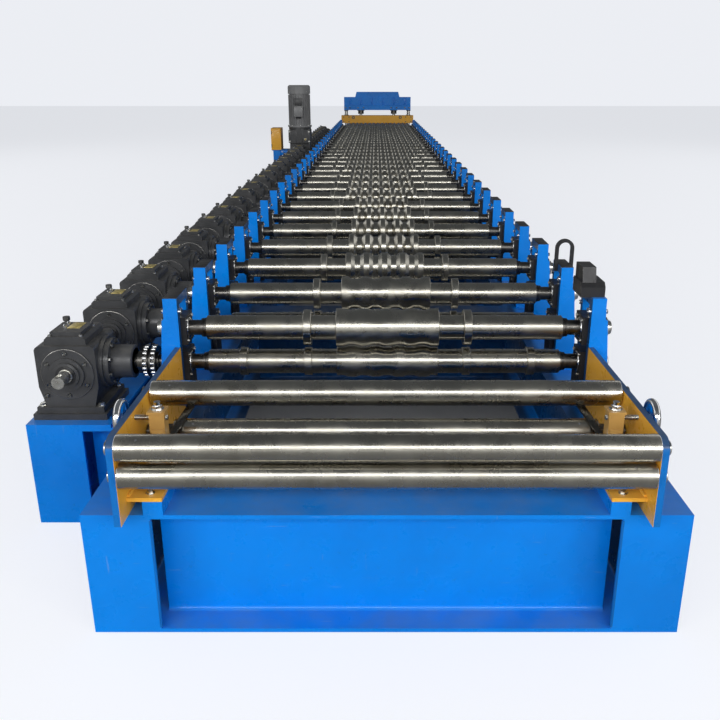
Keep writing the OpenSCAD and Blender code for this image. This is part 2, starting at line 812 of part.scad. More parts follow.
// Front outline of a gearbox body: a waist over the foot and rounded top edges
module gearbox_outline() {
    half = box_w / 2;
    r = box_edge_r;
    polygon([
        [-half + 20, box_foot_h], [half - 20, box_foot_h], [half, box_foot_h + 75],
        [half, box_h - r], [-half, box_h - r], [-half, box_foot_h + 75]
    ]);
    for (x = [-half + r, half - r]) translate([x, box_h - r]) circle(r = r);
    translate([-half + r, box_h - 2 * r]) square([box_w - 2 * r, 2 * r]);
}

// Gearbox housing: two-step foot, body and stepped round covers for the line shaft
module gearbox_housing() {
    shaft_dx = box_mid_x - line_shaft_x;
    difference() {
        union() {
            translate([-box_foot / 2, -box_foot / 2, 0]) cube([box_foot, box_foot, box_foot_h / 2]);
            translate([-box_foot / 2 + 12, -box_foot / 2 + 12, 0])
                cube([box_foot - 24, box_foot - 24, box_foot_h]);
            lengthwise(-box_depth / 2, box_depth / 2) gearbox_outline();
            for (c = [[1, 6], [0.66, 14], [0.5, cover_proud]])
                rod_lengthwise(-box_depth / 2 - c[1], box_depth / 2 + c[1],
                    shaft_dx, line_shaft_rise, box_cover_r * c[0]);
        }
        rod_lengthwise(-box_foot, box_foot, shaft_dx, line_shaft_rise, line_shaft_r + shaft_gap);
    }
}

module gearbox_housings() {
    color(cast_grey) for (i = [1 : station_count])
        translate([-box_mid_x, station_y(i), base_h]) gearbox_housing();
}

// Top cover of a gearbox: a lid with sloping sides, a raised plate and a breather
module gearbox_top_cover() {
    half = box_w / 2 - top_cover_inset;
    deep = box_depth / 2 - top_cover_inset / 2;
    slope = 10;
    rim = top_cover_h - 14;
    lengthwise(-deep, deep) polygon([
        [-half, 0], [half, 0], [half, rim - slope], [half - slope, rim],
        [slope - half, rim], [-half, rim - slope]
    ]);
    translate([slope + 8 - half, 14 - deep, rim - 1])
        cube([2 * (half - slope - 8), 2 * deep - 60, top_cover_h - rim + 1]);
    translate([breather_r - half + slope, deep - breather_r - slope, rim - 1]) {
        cylinder(h = 16, r = breather_r - 4);
        translate([0, 0, 15]) cylinder(h = 14, r = breather_r);
    }
}

module gearbox_top_covers() {
    color(cast_grey) for (i = [1 : station_count])
        translate([-box_mid_x, station_y(i), base_h + box_h]) gearbox_top_cover();
}

// Output flange and neck of a gearbox, bored for the end of the lower shaft
module gearbox_flanges() {
    bore = journal_r + shaft_gap;
    color(cast_grey) for (i = [1 : station_count])
        turned_across(station_y(i), lower_z, [
            [0, -out_face_x], [out_flange_r, -out_face_x],
            [out_flange_r, -out_face_x + 14], [out_flange_r - 8, -out_face_x + 14],
            [out_flange_r - 8, -out_face_x + out_flange_t],
            [out_neck_r, -out_face_x + out_flange_t], [out_neck_r, -out_end_x - 4],
            [out_neck_r - 4, -out_end_x], [bore, -out_end_x],
            [bore, -out_end_x - 37], [0, -out_end_x - 37]
        ]);
}

// Line shaft: one run with a coupling in each bay, but the bay of the main drive, and a
// keyed stub of its own diameter in front of the first gearbox
module line_shaft() {
    y0 = stub_y - line_stub_l;
    y1 = last_station_y + box_depth / 2 + cover_proud + 8;
    key_w = 14;
    key_depth = 5;
    key_l = 30;
    color(bright_steel) difference() {
        union() {
            rod_lengthwise(y0, stub_y + 1, -line_shaft_x, line_z, line_stub_r);
            rod_lengthwise(stub_y, y1, -line_shaft_x, line_z, line_shaft_r);
            for (i = [1 : station_count - 1]) if (i != drive_bay)
                let (y = station_y(i) + station_pitch / 2) {
                    rod_lengthwise(y - line_coupling_l / 2, y - 3, -line_shaft_x, line_z,
                        line_coupling_r);
                    rod_lengthwise(y - 4, y + 4, -line_shaft_x, line_z, line_coupling_r - 8);
                    rod_lengthwise(y + 3, y + line_coupling_l / 2, -line_shaft_x, line_z,
                        line_coupling_r);
                }
        }
        translate([-line_shaft_x - key_w / 2, y0 - 1, line_z + line_stub_r - key_depth])
            cube([key_w, key_l + 1, 2 * key_depth]);
    }
}

// Main reducer: a pedestal between two gearboxes with a wider housing above them
module drive_reducer() {
    color(cast_grey) translate([-line_shaft_x, drive_y, base_h]) difference() {
        union() {
            translate([-reducer_w / 2 + 10, -pedestal_depth / 2, 0])
                cube([reducer_w - 20, pedestal_depth, pedestal_h]);
            translate([-reducer_w / 2, -reducer_depth / 2, pedestal_h])
                cube([reducer_w, reducer_depth, reducer_h - pedestal_h - 40]);
            translate([0, 0, reducer_h - 41]) cylinder(h = 41, r = motor_flange_r - 12);
        }
        rod_lengthwise(-pedestal_depth, pedestal_depth, 0, line_shaft_rise,
            line_shaft_r + shaft_gap);
    }
}

// Upright motor: flange, ribbed body and fan cowl
module drive_motor() {
    flange_h = 20;
    cowl_h = 100;
    rib_root = motor_r - 18;
    body_h = motor_h - 2 * flange_h - cowl_h;
    color(motor_grey) translate([-line_shaft_x, drive_y, motor_z]) {
        cylinder(h = flange_h, r = motor_flange_r);
        translate([0, 0, flange_h - 1]) cylinder(h = body_h + 2, r = rib_root);
        for (k = [0 : motor_ribs - 1])
            rotate([0, 0, k * 360 / motor_ribs])
                translate([rib_root - 4, -3, flange_h + 10]) cube([20, 6, body_h - 20]);
        translate([0, 0, flange_h + body_h]) cylinder(h = cowl_h, r = motor_r);
        translate([0, 0, flange_h + body_h + cowl_h])
            cylinder(h = flange_h, r1 = motor_r, r2 = motor_r - 20);
    }
}

module motor_terminal_box() {
    color(motor_grey)
        translate([-line_shaft_x - terminal_w / 2,
                   drive_y - motor_r + 2 - seat_gap - terminal_depth, motor_z + 150])
            cube([terminal_w, terminal_depth, terminal_h]);
}

// Box of the chain guard beside the drive, and the bracket it stands on
module drive_guard() {
    orange() translate([-bench_outer_x - guard_reach, drive_y - guard_depth / 2,
                        base_h + guard_rise])
        cube([guard_w, guard_depth, guard_h]);
}

module guard_bracket() {
    depth = guard_depth - 60;
    leg_w = guard_w - 40;
    blue() translate([-bench_outer_x - guard_reach, drive_y - depth / 2, 0]) {
        translate([0, 0, base_h + guard_rise - bracket_t]) cube([guard_reach, depth, bracket_t]);
        translate([20, 0, 0]) cube([leg_w, depth, base_h + guard_rise - bracket_t + 1]);
        translate([guard_reach - bracket_t, 0, base_h / 2])
            cube([bracket_t, depth, base_h / 2 + guard_rise]);
    }
}

// Frame of the press: two side pillars on the base
module press_frame() {
    orange() for (side = [-1, 1])
        translate([side > 0 ? press_x - pillar_w : -press_x, press_y - press_depth / 2, base_h])
            cube([pillar_w, press_depth, die_z - base_h]);
}

// Outline of a knife: its edge follows the sheet, the rest is straight
module knife_outline(edge_z, back_z) {
    half = roll_half(station_count);
    edge = wave_line(station_count, edge_z, wave_full);
    polygon(concat(
        [[strip_x - half, back_z], [strip_x - half, edge_z - wave_full]],
        [for (p = edge) [p[1], p[0]]],
        [[strip_x + half, edge_z - wave_full], [strip_x + half, back_z]]
    ));
}

// Lower die block with the lower knife on it
module lower_die() {
    orange() {
        translate([-press_x, press_y - press_depth / 2, die_z])
            cube([2 * press_x, press_depth, die_block_h]);
        lengthwise(press_y - knife_depth / 2, press_y + knife_depth / 2)
            knife_outline(strip_z - 4, die_top_z - 1);
    }
}

module at_guide_posts() {
    for (side = [-1, 1]) for (dy = [-1, 1])
        translate([side * guide_post_x, press_y + dy * guide_post_dy, 0]) children();
}

module guide_posts() {
    color(bright_steel) at_guide_posts()
        translate([0, 0, die_top_z]) cylinder(h = top_beam_z - die_top_z, r = guide_post_r);
}

// Blade holder: a bar with the upper knife below it and two piston rods on top
module blade_holder() {
    piston_l = blade_stroke + 37;
    orange() difference() {
        union() {
            translate([-press_x, press_y - press_depth / 2, blade_z])
                cube([2 * press_x, press_depth, blade_bar_h]);
            lengthwise(press_y - knife_depth / 2, press_y + knife_depth / 2)
                knife_outline(knife_z - 4, blade_z + 1);
            for (side = [-1, 1])
                translate([side * cylinder_x, press_y, blade_top_z - 1])
                    cylinder(h = piston_l + 1, r = rod_r);
        }
        at_guide_posts()
            translate([0, 0, blade_z - 1]) cylinder(h = blade_bar_h + 2, r = guide_post_r + shaft_gap);
    }
}

// Top beam of the press: a wide flange, a narrower web and a cover with sloping ends
module top_beam() {
    web_z = top_beam_z + beam_flange_h;
    cover_z = web_z + beam_web_h;
    half = press_depth / 2;
    blue() {
        translate([-top_beam_x, press_y - half, top_beam_z])
            cube([2 * top_beam_x, press_depth, beam_flange_h]);
        translate([-top_beam_x, press_y - half + 26, web_z - 1])
            cube([2 * top_beam_x, press_depth - 52, beam_web_h + 1]);
        lengthwise(press_y - half + 40, press_y + half - 40) polygon([
            [-beam_cover_w / 2, cover_z - 1], [beam_cover_w / 2, cover_z - 1],
            [beam_cover_w / 2 - 30, cover_z + beam_cover_h],
            [30 - beam_cover_w / 2, cover_z + beam_cover_h]
        ]);
    }
}

// Cylinders under the top beam, bored for the piston rods
module press_cylinders() {
    depth = top_beam_z - cylinder_z;
    color(cast_grey) for (side = [-1, 1])
        translate([side * cylinder_x, press_y, cylinder_z]) difference() {
            cylinder(h = depth, r = cylinder_r);
            translate([0, 0, -1]) cylinder(h = depth - 2, r = rod_r + shaft_gap);
        }
}

base_beam_left();
base_beam_right();
base_cross_beams();
gearbox_bench();
bench_ties();
entry_plate_left();
entry_plate_right();
entry_feet();
entry_blocks();
entry_roll_front_upper();
entry_roll_front_lower();
entry_roll_rear_upper();
entry_roll_rear_lower();
guide_bar();
side_guide_left();
side_guide_right();
handwheel_left();
handwheel_right();
stands_left();
stands_right();
bearing_blocks_left();
bearing_blocks_right();
setting_screws();
stand_cap();
lifting_loop();
lower_shaft_1();
lower_shaft_2();
lower_shaft_3();
lower_shaft_4();
lower_shaft_5();
lower_shaft_6();
lower_shafts_rear();
upper_shaft_1();
upper_shaft_2();
upper_shaft_3();
upper_shaft_4();
upper_shaft_5();
upper_shaft_6();
upper_shafts_rear();
gearbox_housings();
gearbox_top_covers();
gearbox_flanges();
line_shaft();
drive_reducer();
drive_motor();
motor_terminal_box();
drive_guard();
guard_bracket();
press_frame();
lower_die();
guide_posts();
blade_holder();
top_beam();
press_cylinders();
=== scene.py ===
"""Finishes, small fittings, camera and light of the roll forming machine.

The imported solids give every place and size. This script dresses them: it paints the solids,
turns smooth rolls in place of the plain ones and adds bolts, chains, plates and welds.
"""
import json
import logging
import math
from collections.abc import Callable, Iterable, Sequence
from dataclasses import dataclass, field
from enum import Enum

import bmesh
import bpy
from mathutils import Matrix, Vector


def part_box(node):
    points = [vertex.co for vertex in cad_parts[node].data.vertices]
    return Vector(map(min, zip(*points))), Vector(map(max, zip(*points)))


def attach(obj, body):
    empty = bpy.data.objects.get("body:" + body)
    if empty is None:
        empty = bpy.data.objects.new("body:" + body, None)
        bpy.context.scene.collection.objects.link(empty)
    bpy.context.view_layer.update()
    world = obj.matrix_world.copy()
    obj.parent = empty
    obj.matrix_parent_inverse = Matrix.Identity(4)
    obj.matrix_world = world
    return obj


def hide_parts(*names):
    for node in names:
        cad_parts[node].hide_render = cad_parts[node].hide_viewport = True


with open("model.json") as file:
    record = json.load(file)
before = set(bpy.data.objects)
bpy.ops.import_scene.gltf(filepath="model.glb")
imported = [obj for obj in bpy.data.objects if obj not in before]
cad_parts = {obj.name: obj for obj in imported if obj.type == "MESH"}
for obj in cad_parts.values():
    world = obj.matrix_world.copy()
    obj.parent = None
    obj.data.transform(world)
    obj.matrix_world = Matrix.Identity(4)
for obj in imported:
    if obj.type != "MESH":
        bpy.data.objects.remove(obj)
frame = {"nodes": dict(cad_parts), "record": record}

LOG = logging.getLogger("roll_former")
FIXED_BODY = "machine"
JOINTED_STATIONS = 6

Point = tuple[float, float, float]
Colour = tuple[float, float, float, float]
Outline = list[tuple[float, float]]


class Axis(Enum):
    """Direction that a turned piece or a bolt points in."""

    RIGHT = (1.0, 0.0, 0.0)
    LEFT = (-1.0, 0.0, 0.0)
    BACK = (0.0, 1.0, 0.0)
    FRONT = (0.0, -1.0, 0.0)
    UP = (0.0, 0.0, 1.0)
    DOWN = (0.0, 0.0, -1.0)

    def turn(self) -> Matrix:
        """Gives the rotation that turns +Z to this direction.

        Returns:
            A 4 x 4 rotation.
        """
        return Vector((0, 0, 1)).rotation_difference(Vector(self.value)).to_matrix().to_4x4()


class Slot(Enum):
    """Material slots of the record."""

    BLUE = "blue_paint"
    ORANGE = "orange_paint"
    BLACK = "black_blocks"
    BRIGHT = "bright_steel"
    ROLL = "roll_steel"
    CAST = "cast_iron"
    MOTOR = "motor_grey"


class Head(Enum):
    """Kinds of bolt head."""

    HEXAGON = 6
    SOCKET = 16


class Shape:
    """One closed shape, or several like ones, made with bmesh operators."""

    def __init__(self) -> None:
        """Starts an empty shape."""
        self.bm = bmesh.new()

    @classmethod
    def box(cls, low: Point, high: Point, edge: float = 0.0, segments: int = 2) -> "Shape":
        """Makes a box, with rounded edges if asked for.

        Args:
            low: Lowest corner.
            high: Highest corner.
            edge: Radius of the edges.
            segments: Steps round an edge.

        Returns:
            The shape.
        """
        shape = cls()
        size = [high[k] - low[k] for k in range(3)]
        middle = Vector([(high[k] + low[k]) / 2 for k in range(3)])
        matrix = Matrix.Translation(middle) @ Matrix.Diagonal((*size, 1.0))
        bmesh.ops.create_cube(shape.bm, size=1.0, matrix=matrix)
        if edge > 0:
            shape.round_edges(edge, segments)
        return shape

    @classmethod
    def rod(cls, base: Point, axis: Axis, radius: float, length: float, segments: int = 24,
            edge: float = 0.0, top_radius: float | None = None) -> "Shape":
        """Makes a round or many-sided rod.

        Args:
            base: Middle of the rod's near end.
            axis: Direction that it points in.
            radius: Radius at the near end.
            length: Length.
            segments: Sides round the rod.
            edge: Chamfer of the far end.
            top_radius: Radius at the far end, if it differs.

        Returns:
            The shape.
        """
        shape = cls()
        top = radius if top_radius is None else top_radius
        bmesh.ops.create_cone(shape.bm, cap_ends=True, segments=segments, radius1=radius,
                              radius2=top, depth=length)
        bmesh.ops.translate(shape.bm, verts=shape.bm.verts, vec=(0, 0, length / 2))
        if edge > 0:
            rim = [e for e in shape.bm.edges if all(v.co.z > length * 0.999 for v in e.verts)]
            bmesh.ops.bevel(shape.bm, geom=rim, offset=edge, segments=1, profile=0.5,
                            affect="EDGES", material=-1)
        matrix = Matrix.Translation(Vector(base)) @ axis.turn()
        bmesh.ops.transform(shape.bm, matrix=matrix, verts=shape.bm.verts)
        return shape

    @classmethod
    def turned(cls, outline: Outline, centre: Point, axis: Axis, segments: int = 48,
               ring: bool = False) -> "Shape":
        """Turns an outline round an axis.

        Args:
            outline: Points as radius and distance along the axis.
            centre: Point on the axis that the distances count from.
            axis: Direction of the axis.
            segments: Steps of a full turn.
            ring: Whether the outline closes on itself away from the axis.

        Returns:
            The shape.
        """
        shape = cls()
        bm = shape.bm
        verts = [bm.verts.new((radius, 0.0, along)) for radius, along in outline]
        pairs = list(zip(verts, verts[1:])) + ([(verts[-1], verts[0])] if ring else [])
        edges = [bm.edges.new(pair) for pair in pairs]
        bmesh.ops.spin(bm, geom=verts + edges, cent=(0, 0, 0), axis=(0, 0, 1), dvec=(0, 0, 0),
                       angle=math.tau, steps=segments, use_merge=True, use_duplicate=False)
        bmesh.ops.remove_doubles(bm, verts=bm.verts, dist=1e-6)
        bmesh.ops.recalc_face_normals(bm, faces=bm.faces)
        matrix = Matrix.Translation(Vector(centre)) @ axis.turn()
        bmesh.ops.transform(bm, matrix=matrix, verts=bm.verts)
        return shape

    def round_edges(self, radius: float, segments: int = 2) -> "Shape":
        """Rounds every edge.

        Args:
            radius: Radius of the edges.
            segments: Steps round an edge.

        Returns:
            This shape.
        """
        bmesh.ops.bevel(self.bm, geom=list(self.bm.edges), offset=radius, segments=segments,
                        profile=0.5, affect="EDGES", material=-1)
        return self

    def moved(self, matrix: Matrix) -> "Shape":
        """Moves or turns the shape.

        Args:
            matrix: The transform.

        Returns:
            This shape.
        """
        bmesh.ops.transform(self.bm, matrix=matrix, verts=self.bm.verts)
        if matrix.determinant() < 0:
            bmesh.ops.reverse_faces(self.bm, faces=self.bm.faces)
        return self

    def copies(self, offsets: Iterable[Point]) -> "Shape":
        """Puts one copy at each offset, and keeps none at the start.

        Args:
            offsets: Shifts from where the shape is now.

        Returns:
            This shape.
        """
        first = list(self.bm.verts) + list(self.bm.edges) + list(self.bm.faces)
        for offset in offsets:
            made = bmesh.ops.duplicate(self.bm, geom=first)["geom"]
            verts = [item for item in made if isinstance(item, bmesh.types.BMVert)]
            bmesh.ops.translate(self.bm, verts=verts, vec=offset)
        old = [item for item in first if isinstance(item, bmesh.types.BMVert)]
        bmesh.ops.delete(self.bm, geom=old, context="VERTS")
        return self

    def around(self, centre: Point, axis: Axis, count: int, start: float = 0.0) -> "Shape":
        """Puts copies round an axis, in place of the one there is.

        Args:
            centre: Point on the axis.
            axis: Direction of the axis.
            count: Number of copies.
            start: Angle of the first copy in radians.

        Returns:
            This shape.
        """
        first = list(self.bm.verts) + list(self.bm.edges) + list(self.bm.faces)
        for k in range(count):
            made = bmesh.ops.duplicate(self.bm, geom=first)["geom"]
            verts = [item for item in made if isinstance(item, bmesh.types.BMVert)]
            spin = Matrix.Rotation(start + k * math.tau / count, 3, Vector(axis.value))
            bmesh.ops.rotate(self.bm, verts=verts, cent=Vector(centre), matrix=spin)
        old = [item for item in first if isinstance(item, bmesh.types.BMVert)]
        bmesh.ops.delete(self.bm, geom=old, context="VERTS")
        return self


class Piece:
    """One object of the scene: shapes with their finishes, riding on one body."""

    def __init__(self, name: str, palette: "Palette", body: str = FIXED_BODY) -> None:
        """Starts an empty piece.

        Args:
            name: Name of the object.
            palette: Where the finishes come from.
            body: Body that it rides on.
        """
        self.name = name
        self.palette = palette
        self.body = body
        self.bm = bmesh.new()
        self.keys: list[str] = []

    def add(self, shape: Shape, key: str,
            choose: Callable[[Vector], str] | None = None) -> None:
        """Takes a shape in.

        Args:
            shape: The shape; it is used up.
            key: Its finish.
            choose: Gives the finish of a face from its middle, in place of key.
        """
        for face in shape.bm.faces:
            wanted = choose(face.calc_center_median()) if choose else key
            if wanted not in self.keys:
                self.keys.append(wanted)
            face.material_index = self.keys.index(wanted)
        mesh = bpy.data.meshes.new("part")
        shape.bm.to_mesh(mesh)
        shape.bm.free()
        self.bm.from_mesh(mesh)
        bpy.data.meshes.remove(mesh)

    def place(self, slot: Slot, replaced: Sequence[str] = (), sharp_deg: float = 32.0) -> None:
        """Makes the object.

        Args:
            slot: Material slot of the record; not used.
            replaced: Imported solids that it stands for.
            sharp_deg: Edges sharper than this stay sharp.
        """
        mesh = bpy.data.meshes.new(self.name)
        self.bm.to_mesh(mesh)
        self.bm.free()
        mesh.polygons.foreach_set("use_smooth", [True] * len(mesh.polygons))
        mesh.set_sharp_from_angle(angle=math.radians(sharp_deg))
        for key in self.keys:
            mesh.materials.append(self.palette[key])
        thing = bpy.data.objects.new(self.name, mesh)
        bpy.context.scene.collection.objects.link(thing)
        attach(thing, self.body)
        if replaced:
            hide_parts(*replaced)
        faces = sum(len(polygon.vertices) - 2 for polygon in mesh.polygons)
        LOG.info("%s: %d triangles on %s", self.name, faces, self.body)


@dataclass(frozen=True)
class Bolt:
    """A bolt head, with a washer under a hexagon head."""

    radius: float
    height: float
    head: Head = Head.HEXAGON

    def shape(self, places: Iterable[Point], axis: Axis) -> Shape:
        """Makes the bolt heads.

        Args:
            places: Points on the surface that the heads sit on.
            axis: Direction that the heads point in.

        Returns:
            All heads as one shape.
        """
        shape = Shape.rod((0, 0, 0), Axis.UP, self.radius, self.height, self.head.value,
                          self.radius * 0.12)
        if self.head is Head.SOCKET:
            top = [f for f in shape.bm.faces if f.calc_center_median().z > self.height * 0.99]
            bmesh.ops.inset_region(shape.bm, faces=top, thickness=self.radius * 0.38)
            socket = list({vert for face in top for vert in face.verts})
            bmesh.ops.translate(shape.bm, verts=socket, vec=(0, 0, -self.height * 0.5))
        else:
            washer = Shape.rod((0, 0, 0), Axis.UP, self.radius * 1.28, self.height * 0.22, 16)
            mesh = bpy.data.meshes.new("washer")
            washer.bm.to_mesh(mesh)
            washer.bm.free()
            shape.bm.from_mesh(mesh)
            bpy.data.meshes.remove(mesh)
        return shape.moved(axis.turn()).copies(places)


class Shader:
    """Builds one node material step by step."""

    def __init__(self, name: str) -> None:
        """Starts a material with a principled shader.

        Args:
            name: Name of the material.
        """
        self.material = bpy.data.materials.new(name)
        self.material.use_nodes = True
        self.tree = self.material.node_tree
        self.surface = self.tree.nodes["Principled BSDF"]

    def add(self, kind: str, **settings: object) -> bpy.types.Node:
        """Adds a node and sets its properties.

        Args:
            kind: Blender's name of the node type.
            **settings: Properties of the node.

        Returns:
            The new node.
        """
        node = self.tree.nodes.new(kind)
        for key, value in settings.items():
            setattr(node, key, value)
        return node

    def join(self, source: bpy.types.NodeSocket, target: bpy.types.NodeSocket) -> None:
        """Links an output to an input."""
        self.tree.links.new(source, target)

    def feed(self, socket: bpy.types.NodeSocket, value: object) -> None:
        """Sets an input to a value, or links it if the value is an output.

        Args:
            socket: Input to set.
            value: A number, a colour or an output socket.
        """
        if isinstance(value, bpy.types.NodeSocket):
            self.join(value, socket)
        else:
            socket.default_value = value

    def place(self, scale: Point = (1.0, 1.0, 1.0)) -> bpy.types.NodeSocket:
        """Gives object coordinates, stretched.

        Args:
            scale: Factor along each axis.

        Returns:
            The coordinates as an output socket.
        """
        coords = self.add("ShaderNodeTexCoord")
        mapping = self.add("ShaderNodeMapping")
        self.join(coords.outputs["Object"], mapping.inputs["Vector"])
        mapping.inputs["Scale"].default_value = scale
        return mapping.outputs["Vector"]

    def noise(self, scale: float, detail: float = 4.0, roughness: float = 0.55,
              stretch: Point = (1.0, 1.0, 1.0)) -> bpy.types.NodeSocket:
        """Gives a noise from 0 to 1.

        Args:
            scale: Waves per metre.
            detail: Octaves.
            roughness: Weight of the finer octaves.
            stretch: Factor along each axis.

        Returns:
            The noise as an output socket.
        """
        node = self.add("ShaderNodeTexNoise")
        self.join(self.place(stretch), node.inputs["Vector"])
        node.inputs["Scale"].default_value = scale
        node.inputs["Detail"].default_value = detail
        node.inputs["Roughness"].default_value = roughness
        return node.outputs["Fac"]

    def span(self, value: bpy.types.NodeSocket, low: float, high: float,
             to_low: float = 0.0, to_high: float = 1.0) -> bpy.types.NodeSocket:
        """Maps a range of a value to another range, smoothly and without passing its ends.

        Args:
            value: Value to map.
            low: Start of the range.
            high: End of the range.
            to_low: Result at the start.
            to_high: Result at the end.

        Returns:
            The mapped value.
        """
        node = self.add("ShaderNodeMapRange", interpolation_type="SMOOTHSTEP")
        self.join(value, node.inputs["Value"])
        node.inputs["From Min"].default_value = low
        node.inputs["From Max"].default_value = high
        node.inputs["To Min"].default_value = to_low
        node.inputs["To Max"].default_value = to_high
        return node.outputs["Result"]

    def maths(self, operation: str, first: object, second: object) -> bpy.types.NodeSocket:
        """Combines two values.

        Args:
            operation: Blender's name of the operation.
            first: First value.
            second: Second value.

        Returns:
            The result.
        """
        node = self.add("ShaderNodeMath", operation=operation)
        self.feed(node.inputs[0], first)
        self.feed(node.inputs[1], second)
        return node.outputs[0]

    def blend(self, amount: object, first: object, second: object) -> bpy.types.NodeSocket:
        """Mixes two colours.

        Args:
            amount: Share of the second colour.
            first: First colour.
            second: Second colour.

        Returns:
            The mixed colour.
        """
        node = self.add("ShaderNodeMixRGB")
        self.feed(node.inputs[0], amount)
        self.feed(node.inputs[1], first)
        self.feed(node.inputs[2], second)
        return node.outputs[0]

    def facing_up(self) -> bpy.types.NodeSocket:
        """Gives 1 where the surface faces up and 0 where it stands or hangs."""
        geometry = self.add("ShaderNodeNewGeometry")
        split = self.add("ShaderNodeSeparateXYZ")
        self.join(geometry.outputs["Normal"], split.inputs[0])
        return self.span(split.outputs["Z"], 0.55, 0.95)

    def leaning_up(self) -> bpy.types.NodeSocket:
        """Gives 1 where the surface faces up or leans up to 60 degrees, and 0 elsewhere."""
        geometry = self.add("ShaderNodeNewGeometry")
        split = self.add("ShaderNodeSeparateXYZ")
        self.join(geometry.outputs["Normal"], split.inputs[0])
        return self.span(split.outputs["Z"], 0.3, 0.5)

    def bump(self, height: bpy.types.NodeSocket, distance: float,
             strength: float = 1.0) -> bpy.types.NodeSocket:
        """Turns a height into a normal, on top of any bump made before.

        Args:
            height: Height from 0 to 1.
            distance: Depth in metres.
            strength: Share of the effect.

        Returns:
            The normal as an output socket.
        """
        node = self.add("ShaderNodeBump")
        self.join(height, node.inputs["Height"])
        node.inputs["Distance"].default_value = distance
        node.inputs["Strength"].default_value = strength
        target = self.surface.inputs["Normal"]
        if target.links:
            self.join(target.links[0].from_socket, node.inputs["Normal"])
        self.join(node.outputs["Normal"], target)
        return node.outputs["Normal"]

    def colour(self, value: object) -> None:
        """Sets the base colour."""
        self.feed(self.surface.inputs["Base Color"], value)

    def rough(self, value: object) -> None:
        """Sets the roughness."""
        self.feed(self.surface.inputs["Roughness"], value)

    def metal(self, value: object) -> None:
        """Sets how metallic the surface is."""
        self.feed(self.surface.inputs["Metallic"], value)


@dataclass(frozen=True)
class EnamelFinish:
    """Brushed-on gloss enamel on steel, with dust, scratches and painted shade inside the base and
    on the stands' inner faces.
    """

    name: str
    colour: Colour
    shade: Colour
    dust: Colour = (0.2, 0.23, 0.25, 1.0)
    gloss: float = 0.3
    dust_amount: float = 0.3
    back_colour: Colour | None = None
    back_x: float = 0.0
    # Share of painted shade, dark navy, inside the base and on the stands' inner faces.
    inside_shade: float = 0.0

    def build(self) -> bpy.types.Material:
        """Makes the material.

        Returns:
            The material.
        """
        s = Shader(self.name)
        cloud = s.span(s.noise(1.7, 5.0, 0.6), 0.35, 0.7)
        paint = s.blend(cloud, self.colour, self.shade)
        if self.back_colour is not None:
            paint = self._two_tone(s, paint)
            # Painted shade: on the two-tone plates, faces that lean up are darkened towards dark
            # navy.
            edge = s.maths("MULTIPLY", s.leaning_up(), 0.75)
            paint = s.blend(edge, paint, (0.03, 0.045, 0.07, 1.0))
        # Painted shade: darkens the paint towards dark navy inside the base and on the stands'
        # inner faces.
        if self.inside_shade > 0.0:
            paint = s.blend(s.maths("MULTIPLY", self._shaded_inside(s), self.inside_shade), paint,
                            (0.002, 0.012, 0.035, 1.0))
        speck = s.span(s.noise(46.0, 6.0, 0.7), 0.62, 0.74)
        paint = s.blend(s.maths("MULTIPLY", speck, 0.22), paint, (0.03, 0.035, 0.04, 1.0))
        scratch_a = s.span(s.noise(9.0, 3.0, 0.6, (1.0, 14.0, 14.0)), 0.69, 0.73)
        scratch_b = s.span(s.noise(8.0, 3.0, 0.6, (11.0, 11.0, 0.8)), 0.7, 0.74)
        scratch = s.maths("MULTIPLY", s.maths("MAXIMUM", scratch_a, scratch_b), 0.11)
        paint = s.blend(scratch, paint, (0.5, 0.52, 0.52, 1.0))
        dust = s.maths("MULTIPLY", s.facing_up(), s.span(s.noise(5.5, 6.0, 0.65), 0.3, 0.75))
        dust = s.maths("MULTIPLY", dust, self.dust_amount)
        s.colour(s.blend(dust, paint, self.dust))
        gloss = s.span(s.noise(13.0, 5.0), 0.3, 0.75, self.gloss - 0.06, self.gloss + 0.14)
        s.rough(s.maths("ADD", gloss, s.maths("MULTIPLY", dust, 0.8)))
        s.bump(s.noise(210.0, 2.0, 0.5), 0.0004, 0.25)
        s.bump(s.noise(16.0, 3.0, 0.5), 0.0015, 0.18)
        s.surface.inputs["Specular IOR Level"].default_value = 0.3
        s.surface.inputs["Coat Weight"].default_value = 0.12
        s.surface.inputs["Coat Roughness"].default_value = 0.1
        return s.material

    def _shaded_inside(self, s: Shader) -> bpy.types.NodeSocket:
        """Gives 1 where shade is painted: on the faces inside the base and on the inner faces of
        the stands.
        """
        split = s.add("ShaderNodeSeparateXYZ")
        s.join(s.place(), split.inputs[0])
        reach = s.maths("ABSOLUTE", split.outputs["X"], 0.0)
        behind = s.span(split.outputs["Y"], 0.12, 0.2)
        within = s.maths("MULTIPLY", s.span(reach, 0.7, 0.735, 1.0, 0.0), behind)
        normal = s.add("ShaderNodeSeparateXYZ")
        s.join(s.add("ShaderNodeNewGeometry").outputs["Normal"], normal.inputs[0])
        inwards = s.maths("MULTIPLY", s.maths("SIGN", split.outputs["X"], 0.0),
                          normal.outputs["X"])
        inner = s.maths("MULTIPLY", s.span(inwards, -0.8, -0.4, 1.0, 0.0),
                        s.span(reach, 0.86, 0.9, 1.0, 0.0))
        inner = s.maths("MULTIPLY", inner, behind)
        uneven = s.span(s.noise(4.0, 5.0, 0.6), 0.2, 0.7, 0.75, 1.0)
        below = s.span(split.outputs["Z"], 0.9, 0.95, 1.0, 0.0)
        return s.maths("MULTIPLY", s.maths("MAXIMUM", within, inner),
                       s.maths("MULTIPLY", below, uneven))

    def _two_tone(self, s: Shader, paint: bpy.types.NodeSocket) -> bpy.types.NodeSocket:
        """Paints everything further out than back_x in the second colour."""
        split = s.add("ShaderNodeSeparateXYZ")
        s.join(s.place(), split.inputs[0])
        reach = s.maths("ABSOLUTE", split.outputs["X"], 0.0)
        ragged = s.maths("MULTIPLY", s.noise(60.0, 3.0), 0.0012)
        outer = s.maths("GREATER_THAN", s.maths("ADD", reach, ragged), self.back_x)
        return s.blend(outer, paint, self.back_colour)


